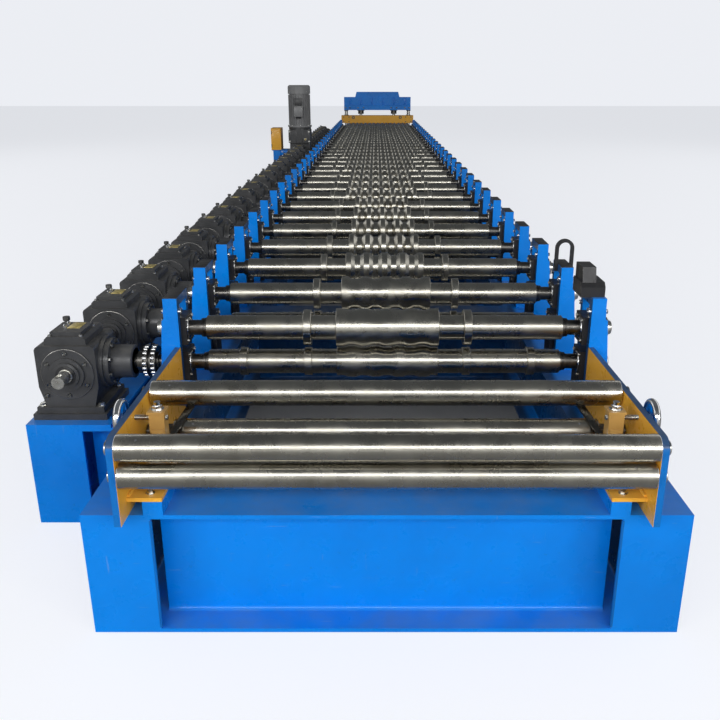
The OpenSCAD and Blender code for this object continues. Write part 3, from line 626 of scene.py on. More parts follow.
@dataclass(frozen=True)
class GroundSteelFinish:
    """Ground steel rolls: fine lines round the roll, oil film and light stains."""

    name: str
    colour: Colour = (0.4, 0.385, 0.335, 1.0)
    stain: Colour = (0.25, 0.23, 0.19, 1.0)
    polish: float = 0.27
    lines: float = 900.0
    stretch: Point = (1.0, 0.01, 0.01)

    def build(self) -> bpy.types.Material:
        """Makes the material.

        Returns:
            The material.
        """
        s = Shader(self.name)
        s.metal(1.0)
        cloud = s.span(s.noise(7.0, 6.0, 0.62, (0.5, 1.6, 1.6)), 0.42, 0.72)
        steel = s.blend(s.maths("MULTIPLY", cloud, 0.55), self.colour, self.stain)
        band = s.span(s.noise(26.0, 3.0, 0.5, self.stretch), 0.35, 0.68)
        steel = s.blend(s.maths("MULTIPLY", band, 0.22), steel, (0.5, 0.48, 0.43, 1.0))
        rust = s.span(s.noise(95.0, 5.0, 0.7), 0.67, 0.75)
        rust = s.maths("MULTIPLY", rust, s.span(s.noise(3.1, 3.0), 0.45, 0.62))
        s.colour(s.blend(s.maths("MULTIPLY", rust, 0.6), steel, (0.2, 0.09, 0.035, 1.0)))
        film = s.span(s.noise(11.0, 5.0, 0.6), 0.35, 0.7, self.polish - 0.05, self.polish + 0.1)
        s.rough(s.maths("ADD", film, s.maths("MULTIPLY", rust, 0.35)))
        s.bump(s.noise(self.lines, 2.0, 0.6, self.stretch), 0.0002, 0.2)
        s.bump(s.noise(22.0, 2.0, 0.5), 0.0003, 0.05)
        return s.material


@dataclass(frozen=True)
class BrightSteelFinish:
    """Plated or turned small steel parts."""

    name: str
    colour: Colour = (0.66, 0.66, 0.63, 1.0)
    tarnish: Colour = (0.3, 0.27, 0.22, 1.0)
    polish: float = 0.22

    def build(self) -> bpy.types.Material:
        """Makes the material.

        Returns:
            The material.
        """
        s = Shader(self.name)
        s.metal(1.0)
        cloud = s.span(s.noise(38.0, 5.0, 0.6), 0.4, 0.75)
        s.colour(s.blend(s.maths("MULTIPLY", cloud, 0.6), self.colour, self.tarnish))
        s.rough(s.span(s.noise(24.0, 4.0), 0.3, 0.7, self.polish - 0.05, self.polish + 0.18))
        s.bump(s.noise(420.0, 3.0, 0.6), 0.0002, 0.3)
        return s.material


@dataclass(frozen=True)
class CastFinish:
    """Painted casting: grainy skin, chips and dust on top."""

    name: str
    colour: Colour = (0.036, 0.037, 0.039, 1.0)
    worn: Colour = (0.085, 0.085, 0.085, 1.0)
    gloss: float = 0.38
    grain: float = 160.0
    dust: float = 0.4

    def build(self) -> bpy.types.Material:
        """Makes the material.

        Returns:
            The material.
        """
        s = Shader(self.name)
        cloud = s.span(s.noise(6.0, 6.0, 0.65), 0.38, 0.72)
        paint = s.blend(s.maths("MULTIPLY", cloud, 0.6), self.colour, self.worn)
        dust = s.maths("MULTIPLY", s.facing_up(), s.span(s.noise(14.0, 6.0, 0.7), 0.35, 0.7))
        dust = s.maths("MULTIPLY", dust, self.dust)
        paint = s.blend(dust, paint, (0.19, 0.18, 0.155, 1.0))
        chips = s.span(s.noise(75.0, 4.0, 0.65), 0.7, 0.76)
        s.colour(s.blend(s.maths("MULTIPLY", chips, 0.5), paint, (0.25, 0.24, 0.22, 1.0)))
        gloss = s.span(s.noise(18.0, 4.0), 0.3, 0.7, self.gloss - 0.08, self.gloss + 0.12)
        s.rough(s.maths("ADD", gloss, dust))
        s.bump(s.noise(self.grain, 4.0, 0.6), 0.0008, 0.45)
        s.bump(s.noise(28.0, 3.0, 0.5), 0.0015, 0.2)
        return s.material


@dataclass(frozen=True)
class PlateFinish:
    """Thin bare label plate."""

    name: str = "label_plate_yellow"
    colour: Colour = (0.75, 0.6, 0.2, 1.0)

    def build(self) -> bpy.types.Material:
        """Makes the material.

        Returns:
            The material.
        """
        s = Shader(self.name)
        cloud = s.span(s.noise(70.0, 5.0, 0.6), 0.4, 0.7)
        s.colour(s.blend(cloud, self.colour, (0.28, 0.22, 0.1, 1.0)))
        s.metal(0.55)
        s.rough(s.span(s.noise(50.0, 3.0), 0.3, 0.7, 0.28, 0.5))
        s.bump(s.noise(300.0, 2.0), 0.0002, 0.3)
        return s.material


@dataclass(frozen=True)
class WornEdgeFinish:
    """Casting edge rubbed down to the metal."""

    name: str
    colour: Colour = (0.3, 0.29, 0.27, 1.0)
    paint: Colour = (0.04, 0.04, 0.042, 1.0)

    def build(self) -> bpy.types.Material:
        """Makes the material.

        Returns:
            The material.
        """
        s = Shader(self.name)
        rubbed = s.span(s.noise(16.0, 5.0, 0.65), 0.3, 0.55)
        s.colour(s.blend(rubbed, self.paint, self.colour))
        s.metal(s.maths("MULTIPLY", rubbed, 0.9))
        s.rough(s.span(s.noise(30.0, 4.0), 0.3, 0.7, 0.25, 0.45))
        s.bump(s.noise(260.0, 3.0), 0.0003, 0.35)
        return s.material


@dataclass
class Palette:
    """All finishes of the machine, built once."""

    made: dict[str, bpy.types.Material] = field(default_factory=dict)

    def finishes(self) -> dict[str, object]:
        """Lists the finishes by the name that the sub-assemblies ask for.

        Returns:
            Finish objects by name.
        """
        blue = (0.0, 0.23, 0.8, 1.0)
        blue_shade = (0.0, 0.185, 0.66, 1.0)
        orange = (0.88, 0.45, 0.05, 1.0)
        orange_shade = (0.74, 0.37, 0.042, 1.0)
        entry_plate_face = 0.7365
        return {
            # The blue enamel carries painted shade inside the base and on the stands' inner faces.
            "blue": EnamelFinish("blue_enamel", blue, blue_shade, inside_shade=0.85),
            "blue_weld": EnamelFinish("blue_weld_bead", (0.0, 0.15, 0.52, 1.0),
                                      (0.0, 0.09, 0.33, 1.0), gloss=0.36, dust_amount=0.5),
            "orange": EnamelFinish("orange_enamel", orange, orange_shade, dust_amount=0.15),
            "bracket": EnamelFinish("bracket_enamel", (0.52, 0.3, 0.085, 1.0),
                                    (0.36, 0.2, 0.06, 1.0), gloss=0.34, dust_amount=0.1),
            "entry_plate": EnamelFinish("entry_plate_enamel", orange, orange_shade,
                                        dust_amount=0.1, back_colour=(0.003, 0.15, 0.5, 1.0),
                                        back_x=entry_plate_face),
            "roll": GroundSteelFinish("ground_roll_steel"),
            "shaft": GroundSteelFinish("turned_shaft_steel", (0.36, 0.345, 0.31, 1.0),
                                       (0.16, 0.145, 0.12, 1.0), 0.24),
            "dark_steel": BrightSteelFinish("oiled_dark_steel", (0.13, 0.125, 0.115, 1.0),
                                            (0.045, 0.04, 0.034, 1.0), 0.26),
            "bright": BrightSteelFinish("plated_steel"),
            "chrome": BrightSteelFinish("chromed_rim", (0.8, 0.8, 0.8, 1.0),
                                        (0.5, 0.5, 0.5, 1.0), 0.1),
            "cast": CastFinish("gearbox_casting"),
            "cast_screw": BrightSteelFinish("painted_over_screw", (0.22, 0.22, 0.21, 1.0),
                                            (0.07, 0.068, 0.06, 1.0), 0.3),
            "worn_edge": WornEdgeFinish("worn_cover_edge"),
            "black": CastFinish("blackened_block", (0.011, 0.011, 0.013, 1.0),
                                (0.028, 0.028, 0.029, 1.0), 0.42, 240.0, 0.12),
            "motor": CastFinish("motor_grey_enamel", (0.21, 0.21, 0.212, 1.0),
                                (0.28, 0.28, 0.28, 1.0), 0.4, 200.0),
            "plate": PlateFinish(),
        }

    def build(self) -> None:
        """Makes every material."""
        for key, finish in self.finishes().items():
            self.made[key] = finish.build()

    def __getitem__(self, key: str) -> bpy.types.Material:
        """Gives a material by its name in the palette."""
        return self.made[key]


@dataclass
class Studio:
    """Floor, light and the camera at the photograph's angle."""

    lens_mm: float = 39.5
    pitch_deg: float = 19.26
    camera_place: Point = (-0.031, -2.075, 1.558)
    shift_x: float = -0.0221
    floor_size: float = 120.0
    backdrop: float = 0.9
    room: float = 0.13

    def build(self) -> None:
        """Makes the camera, the floor and the lights."""
        self._camera()
        self._floor()
        self._world()
        self._softbox("window_strip", (0.0, -8.0, 5.2), (62.0, 0.0, 0.0), (14.0, 1.8), 640.0)
        self._softbox("front_wall", (0.0, -9.0, 1.9), (90.0, 0.0, 0.0), (16.0, 3.4), 110.0)
        for side in (-1, 1):
            self._softbox(f"key_panel_{side}", (side * 8.0, -6.5, 3.4),
                          (72.0, 0.0, side * 50.0), (3.0, 3.0), 300.0)
            self._softbox(f"side_panel_{side}", (side * 9.0, 7.5, 5.5),
                          (0.0, side * 58.0, 0.0), (4.0, 22.0), 300.0)
        bpy.context.scene.view_settings.view_transform = "Standard"

    def _camera(self) -> None:
        """Puts the camera where the photograph was taken from."""
        data = bpy.data.cameras.new("photo_camera")
        data.lens = self.lens_mm
        data.sensor_width = 36.0
        data.shift_x = self.shift_x
        data.clip_end = 200.0
        camera = bpy.data.objects.new("photo_camera", data)
        camera.location = self.camera_place
        camera.rotation_euler = (math.radians(90.0 - self.pitch_deg), 0.0, 0.0)
        bpy.context.scene.collection.objects.link(camera)
        bpy.context.scene.camera = camera

    def _floor(self) -> None:
        """Lays a pale floor under the machine, with a painted shadow under and close to the
        machine.
        """
        mesh = bpy.data.meshes.new("studio_floor")
        bm = bmesh.new()
        bmesh.ops.create_grid(bm, x_segments=1, y_segments=1, size=self.floor_size / 2)
        bm.to_mesh(mesh)
        bm.free()
        floor = bpy.data.objects.new("studio_floor", mesh)
        bpy.context.scene.collection.objects.link(floor)
        s = Shader("studio_floor")
        s.colour((0.3, 0.3, 0.3, 1.0))
        s.rough(0.9)
        glow = s.add("ShaderNodeLightPath").outputs["Is Camera Ray"]
        s.feed(s.surface.inputs["Emission Color"], (0.93, 0.95, 1.0, 1.0))
        # Painted shadow: the camera-ray glow is taken away under and close to the machine, so the
        # floor there looks shaded.
        split = s.add("ShaderNodeSeparateXYZ")
        s.join(s.place(), split.inputs[0])
        across = s.maths("ABSOLUTE", split.outputs["X"], 0.0)
        along = s.maths("ABSOLUTE", s.maths("SUBTRACT", split.outputs["Y"], 8.3), 0.0)
        clear_of_painted_shadow = s.maths("MAXIMUM", s.span(across, 0.7, 0.86), s.span(along, 8.3, 8.42))
        glow = s.maths("MULTIPLY", glow, clear_of_painted_shadow)
        s.feed(s.surface.inputs["Emission Strength"], s.maths("MULTIPLY", glow, 0.74))
        mesh.materials.append(s.material)

    def _world(self) -> None:
        """Shows the camera a pale backdrop and lights the machine with a dimmer room."""
        world = bpy.data.worlds.new("studio_world")
        world.use_nodes = True
        tree = world.node_tree
        seen = tree.nodes["Background"]
        seen.inputs["Color"].default_value = (0.93, 0.95, 1.0, 1.0)
        seen.inputs["Strength"].default_value = self.backdrop
        room = tree.nodes.new("ShaderNodeBackground")
        room.inputs["Color"].default_value = (0.86, 0.92, 1.0, 1.0)
        room.inputs["Strength"].default_value = self.room
        path = tree.nodes.new("ShaderNodeLightPath")
        mix = tree.nodes.new("ShaderNodeMixShader")
        tree.links.new(path.outputs["Is Camera Ray"], mix.inputs[0])
        tree.links.new(room.outputs[0], mix.inputs[1])
        tree.links.new(seen.outputs[0], mix.inputs[2])
        tree.links.new(mix.outputs[0], tree.nodes["World Output"].inputs["Surface"])
        bpy.context.scene.world = world

    def _softbox(self, name: str, place: Point, turn_deg: Point,
                 size: tuple[float, float], watts: float) -> None:
        """Hangs one large soft light.

        Args:
            name: Name of the light.
            place: Where it hangs.
            turn_deg: Its rotation in degrees.
            size: Width and length in metres.
            watts: Power.
        """
        data = bpy.data.lights.new(name, "AREA")
        data.shape = "RECTANGLE"
        data.size, data.size_y = size
        data.energy = watts
        light = bpy.data.objects.new(name, data)
        light.location = place
        light.rotation_euler = tuple(math.radians(a) for a in turn_deg)
        bpy.context.scene.collection.objects.link(light)


@dataclass
class SolidPaint:
    """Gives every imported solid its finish."""

    palette: Palette
    by_node: dict[str, str] = field(default_factory=lambda: {
        "entry_plate_left": "entry_plate", "entry_plate_right": "entry_plate",
        "handwheel_left": "chrome", "handwheel_right": "chrome",
        "press_cylinders": "dark_steel", "side_guide_left": "bracket",
        "side_guide_right": "bracket",
    })
    by_slot: dict[Slot, str] = field(default_factory=lambda: {
        Slot.BLUE: "blue", Slot.ORANGE: "orange", Slot.BLACK: "black", Slot.BRIGHT: "bright",
        Slot.ROLL: "shaft", Slot.CAST: "cast", Slot.MOTOR: "motor",
    })

    def build(self) -> None:
        """Assigns a material to each solid's slots."""
        slots = {part["node"]: part["material_slot"] for part in frame["record"]["subparts"]}
        for name, node in frame["nodes"].items():
            key = self.by_node.get(name) or self.by_slot[Slot(slots[name])]
            if name.startswith("entry_roll"):
                key = "roll"
            node.data.materials.clear()
            node.data.materials.append(self.palette[key])


@dataclass(frozen=True)
class Row:
    """Where the stations stand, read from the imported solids."""

    first_y: float
    pitch: float
    count: int
    lower_z: float
    upper_z: float
    stand_x: float
    stand_top: float
    base_top: float

    @classmethod
    def read(cls) -> "Row":
        """Measures the row on the frame.

        Returns:
            The row.
        """
        low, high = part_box("upper_shaft_1")
        low_2, high_2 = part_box("upper_shaft_2")
        lower_low, lower_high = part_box("lower_shaft_1")
        stand_low, stand_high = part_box("stands_right")
        first_y = (low.y + high.y) / 2
        pitch = (low_2.y + high_2.y) / 2 - first_y
        depth = 2 * (first_y - stand_low.y)
        count = 1 + round((stand_high.y - depth / 2 - first_y) / pitch)
        return cls(first_y, pitch, count, (lower_low.z + lower_high.z) / 2,
                   (low.z + high.z) / 2, stand_low.x, stand_high.z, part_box("base_beam_left")[1].z)

    def y(self, station: int) -> float:
        """Gives the place of a station along the machine."""
        return self.first_y + (station - 1) * self.pitch

    @property
    def stations(self) -> range:
        """All station numbers."""
        return range(1, self.count + 1)

    def body(self, shaft: str, station: int) -> str:
        """Gives the body that a station's shaft turns on.

        Args:
            shaft: "lower_shaft" or "upper_shaft".
            station: Station number.

        Returns:
            Name of the body.
        """
        return f"{shaft}_{station}" if station <= JOINTED_STATIONS else FIXED_BODY


@dataclass
class RollStations:
    """Smooth roll shafts, bearing covers, stand bolts and nuts of all stations."""

    palette: Palette
    row: Row
    tube_r: float = 0.045
    tube_x: float = 0.648
    neck_r: float = 0.028
    journal_r: float = 0.025
    collar_r: float = 0.036
    block_x: float = 0.716
    block_w: float = 0.084
    lock_nut_r: float = 0.033
    lock_nut_w: float = 0.018
    shaft_end_x: float = 0.83
    drive_end_x: float = 0.961
    chain_w: float = 0.07
    chain_r: float = 0.062
    lower_mean_r: float = 0.056
    upper_mean_r: float = 0.067
    strip_x: float = 0.011
    wave_pitch: float = 0.087
    flank_run: float = 0.018
    roll_land: float = 0.013
    ring_gap: float = 0.105
    ring_w: float = 0.029
    outer_ring_x: float = 0.53
    edge: float = 0.0012

    def crowns(self, station: int) -> int:
        """Gives the number of formed crowns at a station."""
        steps = ((7, 4), (11, 6), (14, 8), (17, 10))
        return next((crowns for last, crowns in steps if station <= last), 14)

    def wave_half(self, station: int) -> float:
        """Gives half the depth of the corrugation at a station."""
        return min(0.01, 0.0025 + (station - 1) * 0.0018)

    def roll_half(self, station: int) -> float:
        """Gives half the width of a station's forming rolls."""
        return self.crowns(station) * self.wave_pitch / 2 + self.roll_land

    def wave(self, station: int, mean_r: float, half: float) -> Outline:
        """Gives the outline of the forming rolls.

        Args:
            station: Station number.
            mean_r: Mean radius.
            half: Half depth, negative where crowns and grooves swap.

        Returns:
            Points as radius and X.
        """
        count = self.crowns(station)
        signs = ((-1, 1, -1), (-1, -1, 1), (1, -1, 1), (1, 1, -1))
        line = []
        for k in range(count):
            crown_x = self.strip_x + (k - (count - 1) / 2) * self.wave_pitch
            for side, far, up in signs:
                x = crown_x + side * (self.wave_pitch / 4 + far * self.flank_run / 2)
                line.append((mean_r + up * half, x))
        return line

    def ring(self, x: float, radius: float) -> Outline:
        """Gives the outline of a guide ring, with broken edges."""
        half, edge = self.ring_w / 2, self.edge
        return [(self.tube_r, x - half), (radius - edge, x - half), (radius, x - half + edge),
                (radius, x + half - edge), (radius - edge, x + half), (self.tube_r, x + half)]

    def middle(self, station: int, mean_r: float, half: float, ring_r: float,
               outer_rings: bool) -> Outline:
        """Gives the outline between the shoulders of a shaft.

        Args:
            station: Station number.
            mean_r: Mean radius of the forming rolls.
            half: Half depth of the corrugation.
            ring_r: Radius of the guide rings.
            outer_rings: Whether there are rings near the ends as well.

        Returns:
            Points as radius and X.
        """
        width = self.roll_half(station)
        reach = width + self.ring_gap
        has_rings = reach + self.ring_w < self.tube_x
        base_r, edge = mean_r - half, self.edge
        left, right = self.strip_x - width, self.strip_x + width
        line: Outline = [(self.tube_r - edge, -self.tube_x), (self.tube_r, edge - self.tube_x)]
        if outer_rings:
            line += self.ring(self.strip_x - self.outer_ring_x, ring_r)
        if has_rings:
            line += self.ring(self.strip_x - reach, ring_r)
        line += [(self.tube_r, left), (base_r - edge, left), (base_r, left + edge)]
        line += self.wave(station, mean_r, half)
        line += [(base_r, right - edge), (base_r - edge, right), (self.tube_r, right)]
        if has_rings:
            line += self.ring(self.strip_x + reach, ring_r)
        if outer_rings:
            line += self.ring(self.strip_x + self.outer_ring_x, ring_r)
        return line + [(self.tube_r, self.tube_x - edge), (self.tube_r - edge, self.tube_x)]

    def shaft_end(self) -> Outline:
        """Gives the outline of the right end, from the shoulder outwards."""
        x, far = self.tube_x, self.block_x + self.block_w
        collar, neck = self.collar_r, self.neck_r
        return [(collar, x), (collar, x + 0.009), (neck + 0.002, x + 0.009),
                (neck + 0.002, x + 0.013), (collar - 0.002, x + 0.013),
                (collar - 0.002, x + 0.021), (neck, x + 0.022), (neck, self.block_x - 0.004),
                (self.journal_r, self.block_x - 0.004), (self.journal_r, far + 0.0003),
                (self.lock_nut_r, far + 0.0003), (self.lock_nut_r, far + self.lock_nut_w),
                (self.journal_r, far + self.lock_nut_w),
                (self.journal_r, self.shaft_end_x - 0.002),
                (self.journal_r - 0.002, self.shaft_end_x), (0.006, self.shaft_end_x),
                (0.003, self.shaft_end_x - 0.004), (0, self.shaft_end_x - 0.004)]

    def drive_end(self) -> Outline:
        """Gives the outline of a lower shaft's left end, from the gearbox to the shoulder."""
        hub = self.neck_r + 0.01
        chain_x = -self.shaft_end_x - self.chain_w
        end = [(radius, -x) for radius, x in reversed(self.shaft_end())]
        nut_x = -self.block_x - self.block_w - self.lock_nut_w
        inner = [point for point in end if point[1] > nut_x - 0.001 and point[0] > 0]
        return [(0, -self.drive_end_x), (self.journal_r, -self.drive_end_x),
                (self.journal_r, chain_x - 0.012), (hub, chain_x - 0.012), (hub, chain_x + 0.012),
                (self.chain_r - 0.013, chain_x + 0.012),
                (self.chain_r - 0.013, chain_x + self.chain_w - 0.012),
                (hub, chain_x + self.chain_w - 0.012), (hub, chain_x + self.chain_w - 0.004),
                (self.journal_r, chain_x + self.chain_w - 0.004)] + inner

    def finish_at(self, place: Vector) -> str:
        """Chooses the finish of a shaft's face by where it lies."""
        reach = abs(place.x)
        if abs(place.x - self.strip_x) < 0.64 and reach < self.tube_x - 0.0005:
            return "roll"
        if reach < self.block_x - 0.012:
            return "dark_steel"
        if place.x < -self.shaft_end_x + 0.006:
            return "dark_steel"
        return "bright"

    def build(self) -> None:
        """Makes all shafts and the fittings of the stands."""
        self._shafts("lower_shaft", self.row.lower_z)
        self._shafts("upper_shaft", self.row.upper_z)
        self._chains()
        self._bearings()
        self._stand_bolts()
        self._stand_welds()

    def _shafts(self, shaft: str, z: float) -> None:
        """Turns the shafts of one level, the rear ones together in one piece.

        Args:
            shaft: "lower_shaft" or "upper_shaft".
            z: Height of the axes.
        """
        rear = Piece(f"{shaft}s_rear_smooth", self.palette)
        for station in self.row.stations:
            front = station <= JOINTED_STATIONS
            body = self.row.body(shaft, station)
            segments = 72 if front else 44 if station < 12 else 28
            half = self.wave_half(station)
            if shaft == "lower_shaft":
                outline = self.drive_end() + self.middle(
                    station, self.lower_mean_r, half, self.tube_r + 0.007, station == 1)
            else:
                left = [(radius, -x) for radius, x in reversed(self.shaft_end())]
                outline = left + self.middle(
                    station, self.upper_mean_r, -half, self.upper_mean_r - 0.002, False)
            outline += self.shaft_end()
            shape = Shape.turned(outline, (0, self.row.y(station), z), Axis.RIGHT, segments)
            if front:
                piece = Piece(f"{shaft}_{station}_smooth", self.palette, body)
                piece.add(shape, "roll", self.finish_at)
                piece.place(Slot.ROLL, [f"{shaft}_{station}"])
            else:
                rear.add(shape, "roll", self.finish_at)
        rear.place(Slot.ROLL, [f"{shaft}s_rear"])

    def _chains(self) -> None:
        """Lays the double-strand chain round each coupling."""
        roller_r, strand_w, rollers = 0.0068, 0.017, 18
        pitch_r = self.chain_r - roller_r - 0.0004
        start = -self.shaft_end_x - self.chain_w
        strands = (start + 0.012, start + self.chain_w - 0.012 - strand_w)
        rear = Piece("chains_rear", self.palette)
        for station in self.row.stations:
            front = station <= JOINTED_STATIONS
            piece = rear if not front else Piece(
                f"chain_{station}", self.palette, self.row.body("lower_shaft", station))
            y, z = self.row.y(station), self.row.lower_z
            for x in strands:
                roller = Shape.rod((x + 0.002, y, z + pitch_r), Axis.RIGHT, roller_r,
                                   strand_w - 0.004, 12 if front else 6)
                piece.add(roller.around((x, y, z), Axis.RIGHT, rollers), "chrome")
                for plate_x in (x - 0.001, x + strand_w - 0.001):
                    link = Shape.turned(
                        [(pitch_r - 0.005, plate_x), (pitch_r + 0.0046, plate_x),
                         (pitch_r + 0.0046, plate_x + 0.002), (pitch_r - 0.005, plate_x + 0.002)],
                        (0, y, z), Axis.RIGHT, 36 if front else 18, ring=True)
                    piece.add(link, "dark_steel")
            if front:
                piece.place(Slot.ROLL)
        rear.place(Slot.ROLL)

    def _bearings(self) -> None:
        """Adds seal rings, cover bolts and lock nuts at the bearing blocks."""
        rings = Piece("bearing_rings", self.palette)
        bolts = Piece("bearing_bolts", self.palette)
        inner_x, outer_x = self.block_x, self.block_x + self.block_w
        screw_x = self.row.stand_x + 0.025
        for side in (-1, 1):
            inwards = Axis.LEFT if side > 0 else Axis.RIGHT
            outwards = Axis.RIGHT if side > 0 else Axis.LEFT
            for z in (self.row.lower_z, self.row.upper_z):
                ring = Shape.turned(
                    [(self.neck_r + 0.001, 0), (self.neck_r + 0.011, 0),
                     (self.neck_r + 0.009, 0.0028), (self.neck_r + 0.001, 0.0028)],
                    (side * inner_x, 0, z), inwards, 28, ring=True)
                rings.add(ring.copies([(0, self.row.y(i), 0) for i in self.row.stations]),
                          "chrome")
                inner = [(side * inner_x, self.row.y(i) + dy, z + dz)
                         for i in self.row.stations for dy in (-0.038, 0.038)
                         for dz in (-0.038, 0.038)]
                outer = [(side * outer_x, y, height) for _, y, height in inner]
                bolts.add(Bolt(0.0062, 0.005, Head.SOCKET).shape(inner, inwards), "bright")
                bolts.add(Bolt(0.0062, 0.005).shape(outer, outwards), "bright")
            block_top = self.row.upper_z + 0.052
            nut = Shape.rod((side * screw_x, 0, block_top + 0.005), Axis.UP, 0.023, 0.015, 6,
                            0.002)
            rings.add(nut.copies([(0, self.row.y(i), 0) for i in self.row.stations]), "bright")
        rings.place(Slot.BRIGHT)
        bolts.place(Slot.BRIGHT)

    def _stand_bolts(self) -> None:
        """Adds the cross bolts at the tops of the stands and the bolts of their feet."""
        piece = Piece("stand_bolts", self.palette)
        post_y, post_w = 0.066, 0.0505
        bolt_z = self.row.stand_top - 0.05
        foot_z = self.row.base_top + 0.02
        for side in (-1, 1):
            inwards = Axis.LEFT if side > 0 else Axis.RIGHT
            outwards = Axis.RIGHT if side > 0 else Axis.LEFT
            posts = [self.row.y(i) + dy for i in self.row.stations for dy in (-post_y, post_y)]
            inner = [(side * self.row.stand_x, y, bolt_z) for y in posts]
            outer = [(side * (self.row.stand_x + post_w), y, bolt_z) for y in posts]
            piece.add(Bolt(0.0085, 0.009, Head.SOCKET).shape(inner, inwards), "chrome")
            piece.add(Bolt(0.0085, 0.009).shape(outer, outwards), "chrome")
            feet = [(side * (self.row.stand_x + 0.105), y, foot_z) for y in posts]
            piece.add(Bolt(0.0105, 0.01).shape(feet, Axis.UP), "bright")
            screw_x = side * (self.row.stand_x + 0.025)
            hexes = [(screw_x, self.row.y(i), self.row.stand_top - 0.002)
                     for i in self.row.stations if i > 1 or side < 0]
            piece.add(Shape.rod((0, 0, 0), Axis.UP, 0.0075, 0.0042, 6).copies(hexes), "bright")
            # Thin black plates on the stand tops: dark caps, which also serve as painted shade that
            # darkens the tops.
            post_x = sorted((side * (self.row.stand_x + 0.001),
                             side * (self.row.stand_x + post_w - 0.0015)))
            plate = Shape.box((post_x[0], -0.079, self.row.stand_top - 0.001),
                              (post_x[1], 0.079, self.row.stand_top + 0.0025), 0.0008)
            tops = [(0, self.row.y(i), 0) for i in self.row.stations if i > 1 or side < 0]
            piece.add(plate.copies(tops), "black")
        piece.place(Slot.BRIGHT)

    def _stand_welds(self) -> None:
        """Lays weld beads where the posts stand on their feet."""
        piece = Piece("stand_welds", self.palette)
        foot_z = self.row.base_top + 0.02
        for side in (-1, 1):
            start = self.row.stand_x + 0.003
            bead = Shape.rod((side * start, 0, foot_z), Axis.RIGHT if side > 0 else Axis.LEFT,
                             0.0045, 0.082, 8, 0.001)
            places = [(0, self.row.y(i) + dy, 0) for i in self.row.stations
                      for dy in (-0.08, -0.052, 0.052, 0.08)]
            piece.add(bead.copies(places), "blue_weld")
        piece.place(Slot.BLUE)


